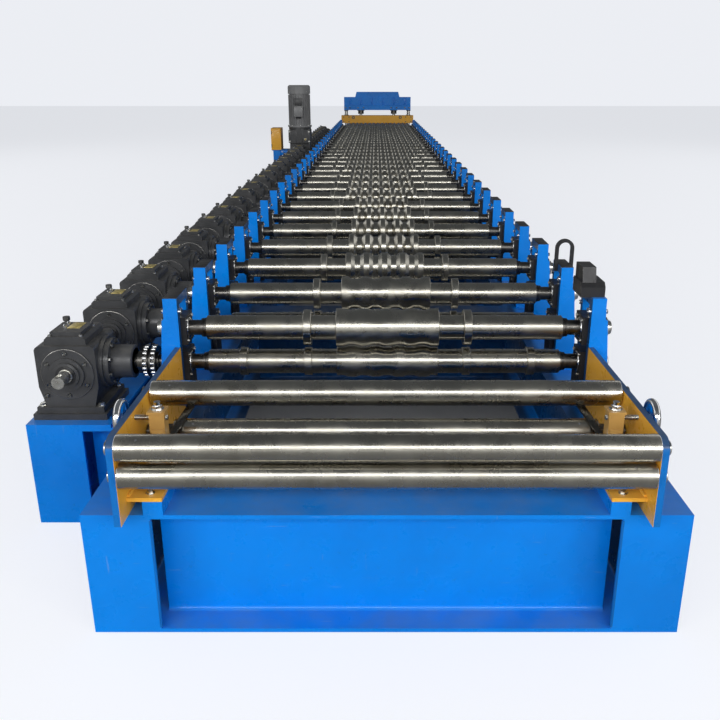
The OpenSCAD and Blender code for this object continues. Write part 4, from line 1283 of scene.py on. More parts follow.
@dataclass
class EntryUnit:
    """Smooth entry rolls, handwheels, side guide bolts and bolts of the entry plates."""

    palette: Palette
    row: Row
    segments: int = 96
    end_edge: float = 0.002
    neck_r: float = 0.022
    journal_r: float = 0.01
    hole_r: float = 0.0035

    def build(self) -> None:
        """Makes the entry unit's pieces."""
        for name in ("front_upper", "front_lower", "rear_upper", "rear_lower"):
            self._roll(f"entry_roll_{name}", 0.082 if name == "rear_lower" else 0.0)
        for side, name in ((-1, "left"), (1, "right")):
            self._handwheel(f"handwheel_{name}", side)
        self._plate_bolts()
        self._guides()

    def _roll(self, node: str, neck: float) -> None:
        """Turns one entry roll.

        Args:
            node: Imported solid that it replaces.
            neck: Length of the neck at each end.
        """
        low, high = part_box(node)
        centre = ((low.x + high.x) / 2, (low.y + high.y) / 2, (low.z + high.z) / 2)
        radius = round((high.z - low.z) / 2, 3)
        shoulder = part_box("entry_plate_right")[0].x - 0.005
        body = shoulder - neck
        edge = self.end_edge
        right: Outline = [(radius, body - edge), (radius - edge * 0.3, body - edge * 0.3),
                          (radius - edge, body), (radius * 0.62, body),
                          (radius * 0.6, body - 0.003)]
        if neck > 0:
            right += [(self.neck_r, body - 0.003), (self.neck_r, shoulder)]
        right += [(self.journal_r, body - 0.003 if neck == 0 else shoulder),
                  (self.journal_r, high.x - 0.001), (self.journal_r - 0.001, high.x),
                  (0, high.x)]
        left = [(r, -x) for r, x in reversed(right)]
        shape = Shape.turned(left + right, centre, Axis.RIGHT, self.segments)
        piece = Piece(f"{node}_smooth", self.palette, node)
        piece.add(shape, "roll",
                  lambda place: "roll" if abs(place.x) < body - 0.0045 else
                  "chrome" if abs(place.x) < body + 0.0005 else "dark_steel")
        for x in (-body + 0.06, body - 0.06):
            plug = Shape.rod((x, centre[1], centre[2] + radius - 0.0006), Axis.UP,
                             self.hole_r, 0.0006, 12)
            turn = Matrix.Translation(centre) @ Matrix.Rotation(math.radians(32), 4, "X") \
                @ Matrix.Translation([-c for c in centre])
            piece.add(plug.moved(turn), "chrome")
        piece.place(Slot.ROLL, [node], 28.0)

    def _handwheel(self, node: str, side: int) -> None:
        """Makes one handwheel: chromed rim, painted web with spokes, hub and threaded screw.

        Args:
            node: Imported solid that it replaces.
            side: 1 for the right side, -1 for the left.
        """
        low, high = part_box(node)
        centre = Vector((0, (low.y + high.y) / 2, (low.z + high.z) / 2))
        rim_r = (high.z - low.z) / 2
        outer, inner = (high.x, low.x) if side > 0 else (-low.x, -high.x)
        rim_x = outer - 0.006 - 0.008
        axis = Axis.RIGHT if side > 0 else Axis.LEFT
        tube = 0.0085
        ring = [(rim_r - tube + tube * math.cos(a), rim_x + 0.0105 * math.sin(a))
                for a in (k * math.tau / 16 for k in range(16))]
        piece = Piece(f"{node}_smooth", self.palette, node)
        piece.add(Shape.turned(ring, centre, axis, 64, ring=True), "chrome")
        web = [(0.012, rim_x - 0.004), (rim_r - tube * 1.5, rim_x - 0.003),
               (rim_r - tube * 1.5, rim_x + 0.003), (0.012, rim_x + 0.004)]
        piece.add(Shape.turned(web, centre, axis, 48, ring=True), "blue_weld")
        spoke = Shape.box((rim_x - 0.0055, centre.y - 0.0035, centre.z + 0.012),
                          (rim_x + 0.0055, centre.y + 0.0035, centre.z + rim_r - tube), 0.001)
        if side < 0:
            spoke.moved(Matrix.Scale(-1, 4, (1, 0, 0)))
        piece.add(spoke.around(centre, Axis.RIGHT, 5), "blue")
        hub = [(0, rim_x - 0.008), (0.016, rim_x - 0.008), (0.016, outer - 0.003),
               (0.013, outer), (0.006, outer), (0.004, outer - 0.004), (0, outer - 0.004)]
        piece.add(Shape.turned(hub, centre, axis, 32), "chrome")
        thread: Outline = [(0, inner), (0.0066, inner)]
        pitch = 0.003
        turns = int((rim_x - 0.02 - inner) / pitch)
        for k in range(turns):
            thread += [(0.008, inner + (k + 0.35) * pitch), (0.0066, inner + (k + 0.85) * pitch)]
        thread += [(0.008, rim_x - 0.012), (0.008, rim_x), (0, rim_x)]
        piece.add(Shape.turned(thread, centre, axis, 20), "bright")
        piece.place(Slot.BRIGHT, [node])

    def _plate_bolts(self) -> None:
        """Adds bearing caps, bolts and weld beads on the entry plates."""
        piece = Piece("entry_plate_bolts", self.palette)
        low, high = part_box("entry_plate_right")
        feet_low, feet_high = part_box("entry_feet")
        for side in (-1, 1):
            outwards = Axis.RIGHT if side > 0 else Axis.LEFT
            for node in ("front_upper", "front_lower", "rear_upper", "rear_lower"):
                roll_low, roll_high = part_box(f"entry_roll_{node}")
                y, z = (roll_low.y + roll_high.y) / 2, (roll_low.z + roll_high.z) / 2
                cap = [(0.0108, 0), (0.021, 0), (0.021, 0.0035), (0.019, 0.005),
                       (0.0108, 0.005)]
                piece.add(Shape.turned(cap, (side * high.x, y, z), outwards, 28, ring=True),
                          "bright")
            foot_bolts = [(side * (feet_high.x - 0.06), feet_low.y + dy, feet_high.z)
                          for dy in (0.03, 0.175, 0.32)]
            piece.add(Bolt(0.0105, 0.01).shape(foot_bolts, Axis.UP), "bright")
            side_bolts = [(side * high.x, y, low.z + 0.04) for y in (-0.02, 0.24, 0.5)]
            piece.add(Bolt(0.012, 0.011).shape(side_bolts, outwards), "bright")
            bead = Shape.rod((side * (feet_high.x - 0.003), feet_low.y + 0.01, feet_high.z),
                             Axis.BACK, 0.005, feet_high.y - feet_low.y - 0.02, 8)
            piece.add(bead, "orange")
        piece.place(Slot.BRIGHT)

    def _guides(self) -> None:
        """Adds nut, stud, bracket plates and slanting arm to each side guide."""
        piece = Piece("side_guide_fittings", self.palette)
        low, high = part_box("side_guide_right")
        bar_low, bar_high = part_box("guide_bar")
        mid_y = (low.y + high.y) / 2
        mid_x = (low.x + high.x) / 2
        for side in (-1, 1):
            stud_top = high.z
            nut = Shape.rod((side * mid_x, mid_y, stud_top - 0.0235), Axis.UP, 0.015, 0.012, 6,
                            0.0015)
            piece.add(nut, "chrome")
            washer = Shape.rod((side * mid_x, mid_y, stud_top - 0.0238), Axis.UP, 0.019, 0.002,
                               20)
            piece.add(washer, "bright")
            piece.add(Shape.rod((side * mid_x, mid_y, stud_top - 0.0125), Axis.UP, 0.0094,
                                0.0127, 24, 0.0003), "chrome")
            rib = Shape.box((mid_x - 0.018, low.y - 0.0005, bar_high.z + 0.004),
                            (mid_x + 0.018, low.y + 0.0025, bar_high.z + 0.09), 0.001)
            arm = Shape.box((-0.012, 0, 0), (0.012, 0.142, 0.007), 0.0015)
            turn = Matrix.Translation((low.x + 0.004, high.y + 0.002, bar_high.z + 0.04)) \
                @ Matrix.Rotation(math.radians(17), 4, "Z") \
                @ Matrix.Rotation(math.radians(20), 4, "X")
            arm.moved(turn)
            clamp = Shape.box((mid_x - 0.02, low.y - 0.003, bar_low.z - 0.006),
                              (mid_x + 0.02, high.y + 0.003, bar_low.z - 0.0005), 0.0015)
            for shape, key in ((rib, "bracket"), (arm, "dark_steel"), (clamp, "bracket")):
                if side < 0:
                    shape.moved(Matrix.Scale(-1, 4, (1, 0, 0)))
                piece.add(shape, key)
            piece.add(Bolt(0.006, 0.005).shape(
                [(side * mid_x, low.y - 0.003, bar_high.z + dz) for dz in (0.02, 0.07)],
                Axis.FRONT), "chrome")
        piece.place(Slot.BRIGHT)


@dataclass
class GearboxRow:
    """Screws, plates, breathers and edge rings of the gearboxes, and shaft coupling screws."""

    palette: Palette
    row: Row
    shaft_x: float = -1.141
    cover_r: float = 0.095
    neck_r: float = 0.062
    flange_t: float = 0.033
    plate_size: tuple[float, float] = (0.046, 0.074)

    def build(self) -> None:
        """Makes the fittings of all gearboxes."""
        self.low, self.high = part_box("gearbox_housings")
        self.mid_x = (self.low.x + self.high.x) / 2
        self.flange_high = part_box("gearbox_flanges")[1]
        self._covers()
        self._feet()
        self._necks()
        self._lids()
        self._couplings()

    def _offsets(self) -> list[Point]:
        """Shifts from the first gearbox to every gearbox."""
        return [(0, self.row.y(i) - self.row.first_y, 0) for i in self.row.stations]

    def _covers(self) -> None:
        """Adds the bright rings and socket screws of the front and back covers."""
        rings = Piece("gearbox_rings", self.palette)
        screws = Piece("gearbox_cover_screws", self.palette)
        z = self.row.base_top + 0.172
        body_y = 0.113
        for axis, sign in ((Axis.FRONT, -1), (Axis.BACK, 1)):
            face = self.row.first_y + sign * (body_y + 0.006)
            centre = (self.shaft_x, face, z)
            line = Shape.turned(
                [(self.cover_r - 0.0012, -0.0005), (self.cover_r, -0.0015),
                 (self.cover_r - 0.0002, 0), (self.cover_r - 0.0012, 0.0004)],
                centre, axis, 56, ring=True)
            rings.add(line.copies(self._offsets()), "worn_edge")
            seal = Shape.turned(
                [(0.0262, 0), (0.036, 0), (0.036, 0.0025), (0.0262, 0.0025)],
                (self.shaft_x, self.row.first_y + sign * (body_y + 0.022), z), axis, 32,
                ring=True)
            rings.add(seal.copies(self._offsets()), "black")
            screw = Bolt(0.0075, 0.006, Head.SOCKET).shape(
                [(self.shaft_x + 0.079, face, z)], axis)
            screws.add(screw.around(centre, axis, 6, math.radians(30)).copies(self._offsets()),
                       "cast_screw")
        rings.place(Slot.CAST)
        screws.place(Slot.CAST)

    def _feet(self) -> None:
        """Adds the foot bolts and the drain plug."""
        piece = Piece("gearbox_foot_bolts", self.palette)
        spots = [(self.mid_x + dx * 0.1065, self.row.y(i) + dy * 0.1,
                  self.row.base_top + 0.045)
                 for i in self.row.stations for dx in (-1, 1) for dy in (-1, 1)]
        piece.add(Bolt(0.0115, 0.0105).shape(spots, Axis.UP), "bright")
        plugs = [(self.mid_x - 0.082, self.row.y(i) - 0.113, self.row.base_top + 0.09)
                 for i in self.row.stations]
        piece.add(Bolt(0.009, 0.009, Head.SOCKET).shape(plugs, Axis.FRONT), "cast_screw")
        piece.place(Slot.BRIGHT)

    def _necks(self) -> None:
        """Adds the flange screws and the black lip at the end of each neck."""
        piece = Piece("gearbox_neck_fittings", self.palette)
        z = self.row.lower_z
        face_x = self.flange_high.x - 0.078 - self.flange_t
        first_y = self.row.first_y
        screw = Bolt(0.0085, 0.008).shape([(face_x + self.flange_t, first_y, z + 0.076)],
                                          Axis.RIGHT)
        screw.around((face_x, first_y, z), Axis.RIGHT, 8, math.radians(22.5))
        piece.add(screw.copies(self._offsets()), "cast_screw")
        lip = Shape.turned(
            [(0.0265, -0.0015), (0.05, -0.0015), (0.05, 0.0), (0.0265, 0.0)],
            (self.flange_high.x, first_y, z), Axis.RIGHT, 32, ring=True)
        piece.add(lip.copies(self._offsets()), "black")
        piece.place(Slot.CAST)

    def _lids(self) -> None:
        """Adds breather cap, bare plate with rivets and screws on the top covers."""
        piece = Piece("gearbox_lid_fittings", self.palette)
        low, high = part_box("gearbox_top_covers")
        top = low.z + 0.044
        rim = low.z + 0.03
        deep = self.row.first_y - low.y
        first_y = self.row.first_y
        wide, long = self.plate_size
        plate_x, plate_y = self.mid_x + 0.012, first_y + 0.005
        plate = Shape.box((plate_x - wide / 2, plate_y - long / 2, top),
                          (plate_x + wide / 2, plate_y + long / 2, top + 0.0012), 0.0004)
        piece.add(plate.copies(self._offsets()), "plate")
        rivets = [(plate_x + dx * (wide / 2 - 0.004), plate_y + dy * (long / 2 - 0.004),
                   top + 0.0012) for dx in (-1, 1) for dy in (-1, 1)]
        piece.add(Bolt(0.0018, 0.0012, Head.SOCKET).shape(rivets, Axis.UP)
                  .copies(self._offsets()), "chrome")
        lid_x = (high.x - low.x) / 2 - 0.018
        screws = [(self.mid_x + dx * lid_x, first_y + dy * (deep - 0.01), rim)
                  for dx in (-1, 1) for dy in (-1, 0.55)]
        piece.add(Bolt(0.0062, 0.006, Head.SOCKET).shape(screws, Axis.UP)
                  .copies(self._offsets()), "bright")
        cap_x, cap_y = low.x + 0.023, first_y + deep - 0.023
        cap = Shape.turned([(0.0135, 0.0), (0.0135, 0.007), (0.011, 0.0095), (0, 0.0098)],
                           (cap_x, cap_y, high.z - 0.0105), Axis.UP, 20)
        piece.add(cap.copies(self._offsets()), "cast_screw")
        for dy in (-0.02, 0.018):
            vent = Shape.turned([(0.0075, 0), (0.0075, 0.006), (0.005, 0.0095), (0, 0.0105)],
                                (plate_x - wide / 2 - 0.013, plate_y + dy, top), Axis.UP, 14)
            piece.add(vent.copies(self._offsets()), "chrome")
        piece.place(Slot.CAST)

    def _couplings(self) -> None:
        """Adds clamp screws round each coupling of the line shaft."""
        piece = Piece("coupling_screws", self.palette, "line_shaft")
        z = self.row.base_top + 0.172
        for i in list(self.row.stations)[:-1]:
            y = self.row.y(i) + self.row.pitch / 2
            if abs(y - (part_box("drive_reducer")[0].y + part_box("drive_reducer")[1].y) / 2) < 0.1:
                continue
            for sign, axis in ((-1, Axis.FRONT), (1, Axis.BACK)):
                face = y + sign * 0.048
                screw = Bolt(0.0052, 0.004, Head.SOCKET).shape([(self.shaft_x, face, z + 0.034)],
                                                               axis)
                piece.add(screw.around((self.shaft_x, face, z), axis, 6), "black")
        piece.place(Slot.BRIGHT)


@dataclass
class MainDrive:
    """Fittings of the reducer, the upright motor, its terminal box and the orange guard."""

    palette: Palette
    motor_r: float = 0.16
    ribs: int = 24

    def build(self) -> None:
        """Makes the drive's fittings."""
        self.low, self.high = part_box("drive_reducer")
        self.motor_low, self.motor_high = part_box("drive_motor")
        self.x = (self.motor_low.x + self.motor_high.x) / 2
        self.y = (self.motor_low.y + self.motor_high.y) / 2
        self._reducer()
        self._motor()
        self._terminal_box()
        self._guard()
        self._bracket()

    def _reducer(self) -> None:
        """Adds cover plates, screws, ribs, a sight glass and foot bolts to the reducer."""
        piece = Piece("reducer_fittings", self.palette)
        top = self.motor_low.z - 0.04
        base = self.low.z
        shoulder = base + 0.35
        for side, axis in ((-1, Axis.LEFT), (1, Axis.RIGHT)):
            face = self.high.x if side > 0 else self.low.x
            rim = [(0.001, -0.001), (0.088, -0.001), (0.088, 0.006), (0.085, 0.009),
                   (0.06, 0.009), (0.058, 0.006), (0.001, 0.006)]
            mid_z = (shoulder + top) / 2
            if side > 0:
                face_x = face - 0.009
                boss = Shape.turned(rim, (face_x, self.y, mid_z), axis, 44, ring=True)
                piece.add(boss, "cast")
            screw = Bolt(0.0075, 0.0062, Head.SOCKET).shape(
                [(face - 0.0002 if side > 0 else face + 0.0002, self.y, mid_z + 0.073)], axis)
            piece.add(screw.around((face, self.y, mid_z), axis, 8), "cast_screw")
        front = self.low.y
        for x in (-0.13, -0.045, 0.045, 0.13):
            rib = Shape.box((self.x + x - 0.006, front - 0.0008, shoulder + 0.01),
                            (self.x + x + 0.006, front + 0.004, top - 0.012), 0.002)
            piece.add(rib, "cast")
        edge = [(self.x + dx * 0.14, front, z) for dx in (-1, 1)
                for z in (shoulder + 0.02, top - 0.022)]
        piece.add(Bolt(0.009, 0.008).shape(edge, Axis.FRONT), "bright")
        glass = Shape.turned(
            [(0, -0.001), (0.019, -0.001), (0.019, 0.004), (0.013, 0.006), (0.012, 0.003),
             (0, 0.003)], (self.x + 0.088, front, shoulder + 0.05), Axis.FRONT, 28)
        piece.add(glass, "bright",
                  lambda place: "bright" if (place.x - self.x - 0.088) ** 2
                  + (place.z - shoulder - 0.05) ** 2 > 0.00012 else "plate")
        corners = [(self.x + dx * 0.14, self.y + dy * 0.15, top) for dx in (-1, 1)
                   for dy in (-1, 1)]
        piece.add(Bolt(0.011, 0.011).shape(corners, Axis.UP), "bright")
        piece.place(Slot.CAST)

    def _motor(self) -> None:
        """Adds flange bolts, cowl band and screws, a grille of rings and spokes and a front plate
        to the motor.
        """
        piece = Piece("motor_fittings", self.palette)
        z = self.motor_low.z
        flange = Bolt(0.0085, 0.008).shape([(self.x + 0.165, self.y, z + 0.02)], Axis.UP)
        centre = (self.x, self.y, z)
        piece.add(flange.around(centre, Axis.UP, 8, math.radians(7.5)), "bright")
        cowl_low = self.motor_high.z - 0.12
        band = Shape.turned(
            [(self.motor_r - 0.002, cowl_low + 0.004), (self.motor_r + 0.002, cowl_low + 0.004),
             (self.motor_r + 0.002, cowl_low + 0.012), (self.motor_r - 0.002, cowl_low + 0.012)],
            (self.x, self.y, 0), Axis.UP, 64, ring=True)
        piece.add(band, "motor")
        skin = Shape.turned(
            [(self.motor_r - 0.003, cowl_low + 0.001), (self.motor_r + 0.0008, cowl_low + 0.001),
             (self.motor_r + 0.0008, cowl_low + 0.099), (self.motor_r - 0.003, cowl_low + 0.1)],
            (self.x, self.y, 0), Axis.UP, 72, ring=True)
        piece.add(skin, "motor")
        screw = Bolt(0.005, 0.004, Head.SOCKET).shape(
            [(self.x, self.y - self.motor_r - 0.0008, cowl_low + 0.03)], Axis.FRONT)
        piece.add(screw.around(centre, Axis.UP, 4, math.radians(45)), "bright")
        for reach in (0.03, 0.05, 0.07, 0.09, 0.11, 0.13):
            wire = [(reach + 0.0022 * math.cos(a), 0.0022 * math.sin(a))
                    for a in (j * math.tau / 6 for j in range(6))]
            piece.add(Shape.turned(wire, (self.x, self.y, self.motor_high.z - 0.0022), Axis.UP,
                                   40, ring=True), "dark_steel")
        spoke = Shape.box((self.x + 0.02, self.y - 0.003, self.motor_high.z - 0.0045),
                          (self.x + 0.138, self.y + 0.003, self.motor_high.z - 0.0012))
        piece.add(spoke.around((self.x, self.y, 0), Axis.UP, 6), "dark_steel")
        plate = Shape.box((self.x - 0.055, self.y - self.motor_r - 0.0035, z + 0.3),
                          (self.x + 0.055, self.y - self.motor_r + 0.012, z + 0.4), 0.002)
        piece.add(plate, "cast")
        piece.place(Slot.MOTOR)

    def _terminal_box(self) -> None:
        """Adds the lid line, lid screws and glands of the terminal box."""
        low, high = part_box("motor_terminal_box")
        piece = Piece("terminal_box_fittings", self.palette)
        lid = Shape.box((low.x - 0.003, low.y - 0.0005, low.z - 0.003),
                        (high.x + 0.003, low.y + 0.014, high.z + 0.003), 0.003)
        piece.add(lid, "motor")
        screws = [(x, low.y - 0.0005, z) for x in (low.x + 0.009, high.x - 0.009)
                  for z in (low.z + 0.009, high.z - 0.009)]
        piece.add(Bolt(0.0048, 0.0036, Head.SOCKET).shape(screws, Axis.FRONT), "bright")
        for x in (low.x + 0.035, high.x - 0.035):
            gland = Shape.turned(
                [(0, 0), (0.016, 0), (0.016, 0.012), (0.013, 0.013), (0.013, 0.026),
                 (0.009, 0.03), (0, 0.03)], (x, (low.y + high.y) / 2, low.z), Axis.DOWN, 6)
            piece.add(gland, "black")
        piece.place(Slot.MOTOR)

    def _guard(self) -> None:
        """Adds the folded rim, hinges and screws of the guard, and its bracket's bolts."""
        low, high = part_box("drive_guard")
        piece = Piece("guard_fittings", self.palette)
        panel = Shape.box((low.x + 0.012, low.y - 0.0014, low.z + 0.015),
                          (high.x - 0.012, low.y + 0.002, high.z - 0.015), 0.001)
        piece.add(panel, "orange")
        side = Shape.box((high.x - 0.002, low.y + 0.018, low.z + 0.018),
                         (high.x + 0.0014, high.y - 0.018, high.z - 0.018), 0.001)
        piece.add(side, "orange")
        screws = [(high.x + 0.0014, y, z) for y in (low.y + 0.03, high.y - 0.03)
                  for z in (low.z + 0.03, high.z - 0.03)]
        piece.add(Bolt(0.006, 0.004, Head.SOCKET).shape(screws, Axis.RIGHT), "bright")
        for z in (low.z + 0.06, high.z - 0.06):
            hinge = Shape.rod((low.x + 0.006, low.y - 0.001, z - 0.02), Axis.UP, 0.005, 0.04, 12)
            piece.add(hinge, "dark_steel")
        feet = [(x, low.y + 0.05, low.z) for x in (low.x + 0.01, high.x - 0.01)]
        piece.add(Bolt(0.006, 0.004, Head.SOCKET).shape(feet, Axis.FRONT), "bright")
        piece.place(Slot.ORANGE)

    def _bracket(self) -> None:
        """Adds gussets, bench bolts and foot bolts to the guard's bracket."""
        low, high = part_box("guard_bracket")
        leg_low, leg_high = low.x + 0.02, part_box("drive_guard")[1].x - 0.02
        piece = Piece("bracket_fittings", self.palette)
        plate = Shape.box((leg_low - 0.018, low.y + 0.004, 0.0005),
                          (leg_high + 0.03, high.y - 0.004, 0.01), 0.002)
        piece.add(plate, "blue")
        feet = [(leg_high + 0.017, y, 0.01) for y in (low.y + 0.03, self.y, high.y - 0.03)]
        piece.add(Bolt(0.008, 0.008).shape(feet, Axis.UP), "bright")
        top = high.z - 0.001
        for y in (low.y + 0.012, high.y - 0.02):
            gusset = Shape.box((leg_high - 0.002, y, top - 0.075), (high.x - 0.002, y + 0.008,
                                                                   top - 0.006), 0.0015)
            piece.add(gusset, "blue")
        bench = [(leg_high + 0.03, low.y + 0.0005, top - 0.03),
                 (high.x - 0.03, low.y + 0.0005, top - 0.03)]
        bench = [(x, low.y + 0.012, z) for x, _, z in bench]
        piece.add(Bolt(0.0065, 0.006).shape(bench, Axis.FRONT), "bright")
        seam = Shape.rod((leg_high, low.y + 0.002, top - 0.007), Axis.RIGHT, 0.0035,
                         high.x - leg_high - 0.004, 8)
        piece.add(seam, "blue_weld")
        piece.place(Slot.BLUE)


@dataclass
class CutoffPress:
    """Bolts, bushings, sleeves, stiffeners and knife screws of the press."""

    palette: Palette
    strip_x: float = 0.011
    wave_pitch: float = 0.087
    crowns: int = 14
    cylinder_x: float = 0.36
    post_x: float = 0.68
    post_y: float = 0.075
    rod_radius: float = 0.0303

    def build(self) -> None:
        """Makes the press's fittings."""
        self.frame_low, self.frame_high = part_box("press_frame")
        self.die_low, self.die_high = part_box("lower_die")
        self.bar_low, self.bar_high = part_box("blade_holder")
        self.beam_low, self.beam_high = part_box("top_beam")
        self.y = (self.bar_low.y + self.bar_high.y) / 2
        self.bar_top = self.bar_low.z + 0.202
        self._blade()
        self._posts()
        self._beam()
        self._base()

    def _blade(self) -> None:
        """Adds the round lugs, knife screws and post bushings of the blade holder."""
        piece = Piece("blade_fittings", self.palette, "blade_holder")
        knife_y = self.y - 0.03
        bar_z = self.bar_top - 0.158
        for x in (-0.524, 0.503):
            lug = [(0, -0.004), (0.034, -0.004), (0.034, 0.005), (0.029, 0.009),
                   (0.016, 0.009), (0.014, 0.003), (0, 0.003)]
            piece.add(Shape.turned(lug, (x, self.bar_low.y + 0.0035, bar_z + 0.12), Axis.FRONT,
                                   36), "dark_steel")
            screw = Bolt(0.0042, 0.003, Head.SOCKET).shape(
                [(x, self.bar_low.y - 0.0012, bar_z + 0.1435)], Axis.FRONT)
            piece.add(screw.around((x, self.bar_low.y, bar_z + 0.12), Axis.FRONT, 6), "bright")
        for k in range(self.crowns):
            x = self.strip_x + (k - (self.crowns - 1) / 2) * self.wave_pitch
            piece.add(Bolt(0.006, 0.004, Head.SOCKET).shape(
                [(x, knife_y, self.bar_top - 0.172)], Axis.FRONT), "bright")
        for sx in (-1, 1):
            for sy in (-1, 1):
                bush = Shape.turned(
                    [(0.0312, -0.001), (0.046, -0.001), (0.046, 0.011), (0.043, 0.014),
                     (0.0312, 0.014)],
                    (sx * self.post_x, self.y + sy * self.post_y, self.bar_top), Axis.UP, 36,
                    ring=True)
                piece.add(bush, "dark_steel")
        hexes = [(sx * x, self.bar_low.y + 0.0003, self.bar_top - dz)
                 for sx in (-1, 1) for x in (0.735, 0.62) for dz in (0.03, 0.125)]
        piece.add(Bolt(0.0095, 0.0085).shape(hexes, Axis.FRONT), "dark_steel")
        rod_l = self.bar_high.z - self.bar_top - 0.001
        for side in (-1, 1):
            sleeve = [(self.rod_radius - 0.001, 0.0), (self.rod_radius, 0.0),
                      (self.rod_radius, rod_l), (self.rod_radius - 0.001, rod_l)]
            place = (side * self.cylinder_x, self.y, self.bar_top)
            piece.add(Shape.turned(sleeve, place, Axis.UP, 40, ring=True), "bright")
        piece.place(Slot.ORANGE)

    def _posts(self) -> None:
        """Adds collars at the feet and heads of the guide posts."""
        piece = Piece("post_collars", self.palette)
        for sx in (-1, 1):
            for sy in (-1, 1):
                place = (sx * self.post_x, self.y + sy * self.post_y, self.die_low.z + 0.112)
                foot = [(0.0302, -0.001), (0.045, -0.001), (0.045, 0.014), (0.04, 0.018),
                        (0.0302, 0.018)]
                piece.add(Shape.turned(foot, place, Axis.UP, 36, ring=True), "dark_steel")
                head = (sx * self.post_x, self.y + sy * self.post_y, self.beam_low.z)
                piece.add(Shape.turned(foot, head, Axis.DOWN, 36, ring=True), "dark_steel")
        piece.place(Slot.CAST)

    def _beam(self) -> None:
        """Adds stiffeners, flange bolts, weld beads and the cover screws of the top beam."""
        piece = Piece("top_beam_fittings", self.palette)
        web_z = self.beam_low.z + 0.099
        cover_z = web_z + 0.169
        web_y = self.y - 0.094
        flange_y = self.beam_low.y
        for x in (-0.6, -0.36, -0.12, 0.12, 0.36, 0.6):
            rib = Shape.box((x - 0.005, flange_y + 0.004, web_z - 0.001),
                            (x + 0.005, web_y + 0.002, cover_z - 0.004), 0.001)
            piece.add(rib, "blue")
            bead = Shape.rod((x - 0.0055, flange_y + 0.006, web_z), Axis.BACK, 0.0032, 0.02, 6)
            piece.add(bead, "blue_weld")
        seam = Shape.rod((self.beam_low.x + 0.004, web_y, web_z), Axis.RIGHT, 0.0042,
                         self.beam_high.x - self.beam_low.x - 0.008, 8)
        piece.add(seam, "blue_weld")
        bolts = [(x, flange_y, self.beam_low.z + 0.05) for x in
                 (-0.69, -0.6, -0.42, -0.3, 0.3, 0.42, 0.6, 0.69)]
        piece.add(Bolt(0.011, 0.01).shape(bolts, Axis.FRONT), "dark_steel")
        screws = [(x, self.y - 0.0745, cover_z + 0.02) for x in (-0.42, -0.14, 0.14, 0.42)]
        piece.add(Bolt(0.0065, 0.005).shape(screws, Axis.FRONT), "bright")
        for sx in (-1, 1):
            flange = [(0.0625, 0.0), (0.08, 0.0), (0.08, 0.011), (0.0625, 0.011)]
            place = (sx * self.cylinder_x, self.y, self.beam_low.z - 0.012)
            piece.add(Shape.turned(flange, place, Axis.UP, 40, ring=True), "dark_steel")
            ring = Bolt(0.006, 0.005).shape(
                [(sx * self.cylinder_x + 0.071, self.y, self.beam_low.z - 0.012)], Axis.DOWN)
            piece.add(ring.around(place, Axis.UP, 8), "bright")
        piece.place(Slot.BLUE)

    def _base(self) -> None:
        """Adds the bolts and weld beads between pillars, die block and base."""
        piece = Piece("press_base_fittings", self.palette)
        low, high = self.frame_low, self.frame_high
        for side in (-1, 1):
            outwards = Axis.RIGHT if side > 0 else Axis.LEFT
            bolts = [(side * high.x, y, z) for y in (low.y + 0.04, high.y - 0.04)
                     for z in (self.die_low.z + 0.03, self.die_low.z + 0.082)]
            piece.add(Bolt(0.0105, 0.01).shape(bolts, outwards), "dark_steel")
            bead = Shape.rod((side * (high.x - 0.118), low.y, low.z), outwards, 0.005, 0.114, 8)
            piece.add(bead, "orange")
        front = [(side * x, self.die_low.y, self.die_low.z + dz) for side in (-1, 1)
                 for x in (0.745, 0.705) for dz in (0.03, 0.082)]
        piece.add(Bolt(0.0105, 0.01).shape(front, Axis.FRONT), "dark_steel")
        for k in range(self.crowns):
            x = self.strip_x + (k - (self.crowns - 1) / 2) * self.wave_pitch
            piece.add(Bolt(0.006, 0.004, Head.SOCKET).shape(
                [(x, self.y - 0.03, self.die_low.z + 0.1185)], Axis.FRONT), "bright")
        piece.place(Slot.ORANGE)


@dataclass
class BaseFrame:
    """Weld beads of the base and the bench."""

    palette: Palette
    row: Row
    flange: float = 0.015

    def build(self) -> None:
        """Makes the base's fittings."""
        self._seams()
        self._bench()

    def _seams(self) -> None:
        """Lays the weld beads under the flanges and at the closed ends of the beams."""
        piece = Piece("base_welds", self.palette)
        cross_low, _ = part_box("base_cross_beams")
        for side, node in ((-1, "base_beam_left"), (1, "base_beam_right")):
            low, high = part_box(node)
            outer = high.x if side > 0 else low.x
            inner = low.x if side > 0 else high.x
            for z in (self.flange, high.z - self.flange):
                bead = Shape.rod((min(outer, inner) + 0.006, low.y + 0.0035, z), Axis.RIGHT,
                                 0.0035, abs(outer - inner) - 0.012, 8)
                piece.add(bead, "blue_weld")
            corner = Shape.rod((inner, cross_low.y + 0.002, self.flange + 0.004), Axis.UP,
                               0.0045, high.z - 2 * self.flange - 0.008, 8)
            piece.add(corner, "blue_weld")
        piece.place(Slot.BLUE)

    def _bench(self) -> None:
        """Lays the weld bead under the bench's top plate."""
        piece = Piece("bench_fittings", self.palette)
        low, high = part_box("gearbox_bench")
        bead = Shape.rod((low.x + 0.01, low.y + 0.013, high.z - 0.014), Axis.RIGHT, 0.004,
                         high.x - low.x - 0.02, 8)
        piece.add(bead, "blue_weld")
        piece.place(Slot.BLUE)


def main() -> None:
    """Builds the scene from its parts."""
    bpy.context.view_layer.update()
    palette = Palette()
    palette.build()
    LOG.info("palette: %d finishes", len(palette.made))
    Studio().build()
    SolidPaint(palette).build()
    LOG.info("solids painted: %d", len(frame["nodes"]))
    row = Row.read()
    LOG.info("row: %d stations from %.3f m, %.3f m apart", row.count, row.first_y, row.pitch)
    RollStations(palette, row).build()
    EntryUnit(palette, row).build()
    GearboxRow(palette, row).build()
    MainDrive(palette).build()
    CutoffPress(palette).build()
    BaseFrame(palette, row).build()


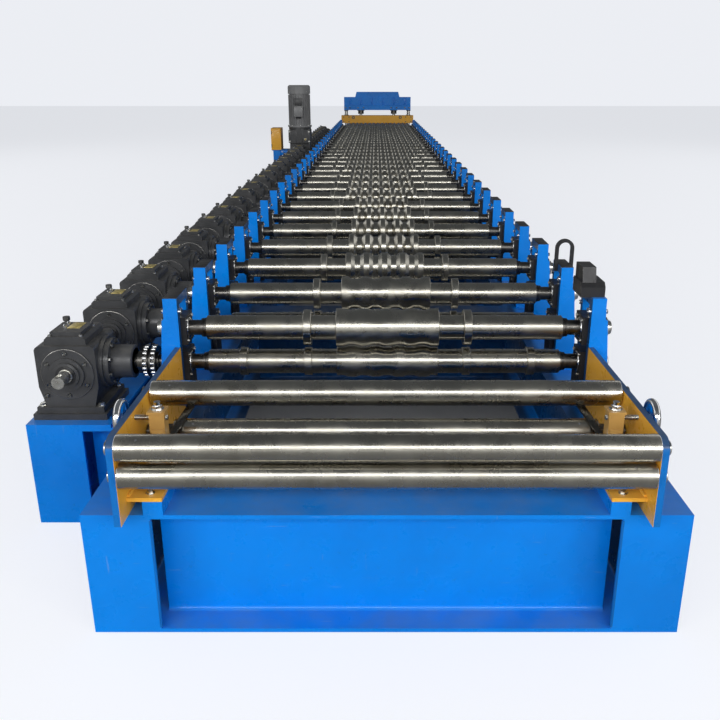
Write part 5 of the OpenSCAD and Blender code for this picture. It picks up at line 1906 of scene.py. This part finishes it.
if __name__ == "__main__":
    logging.basicConfig(level=logging.INFO, format="%(name)s: %(message)s")
    main()
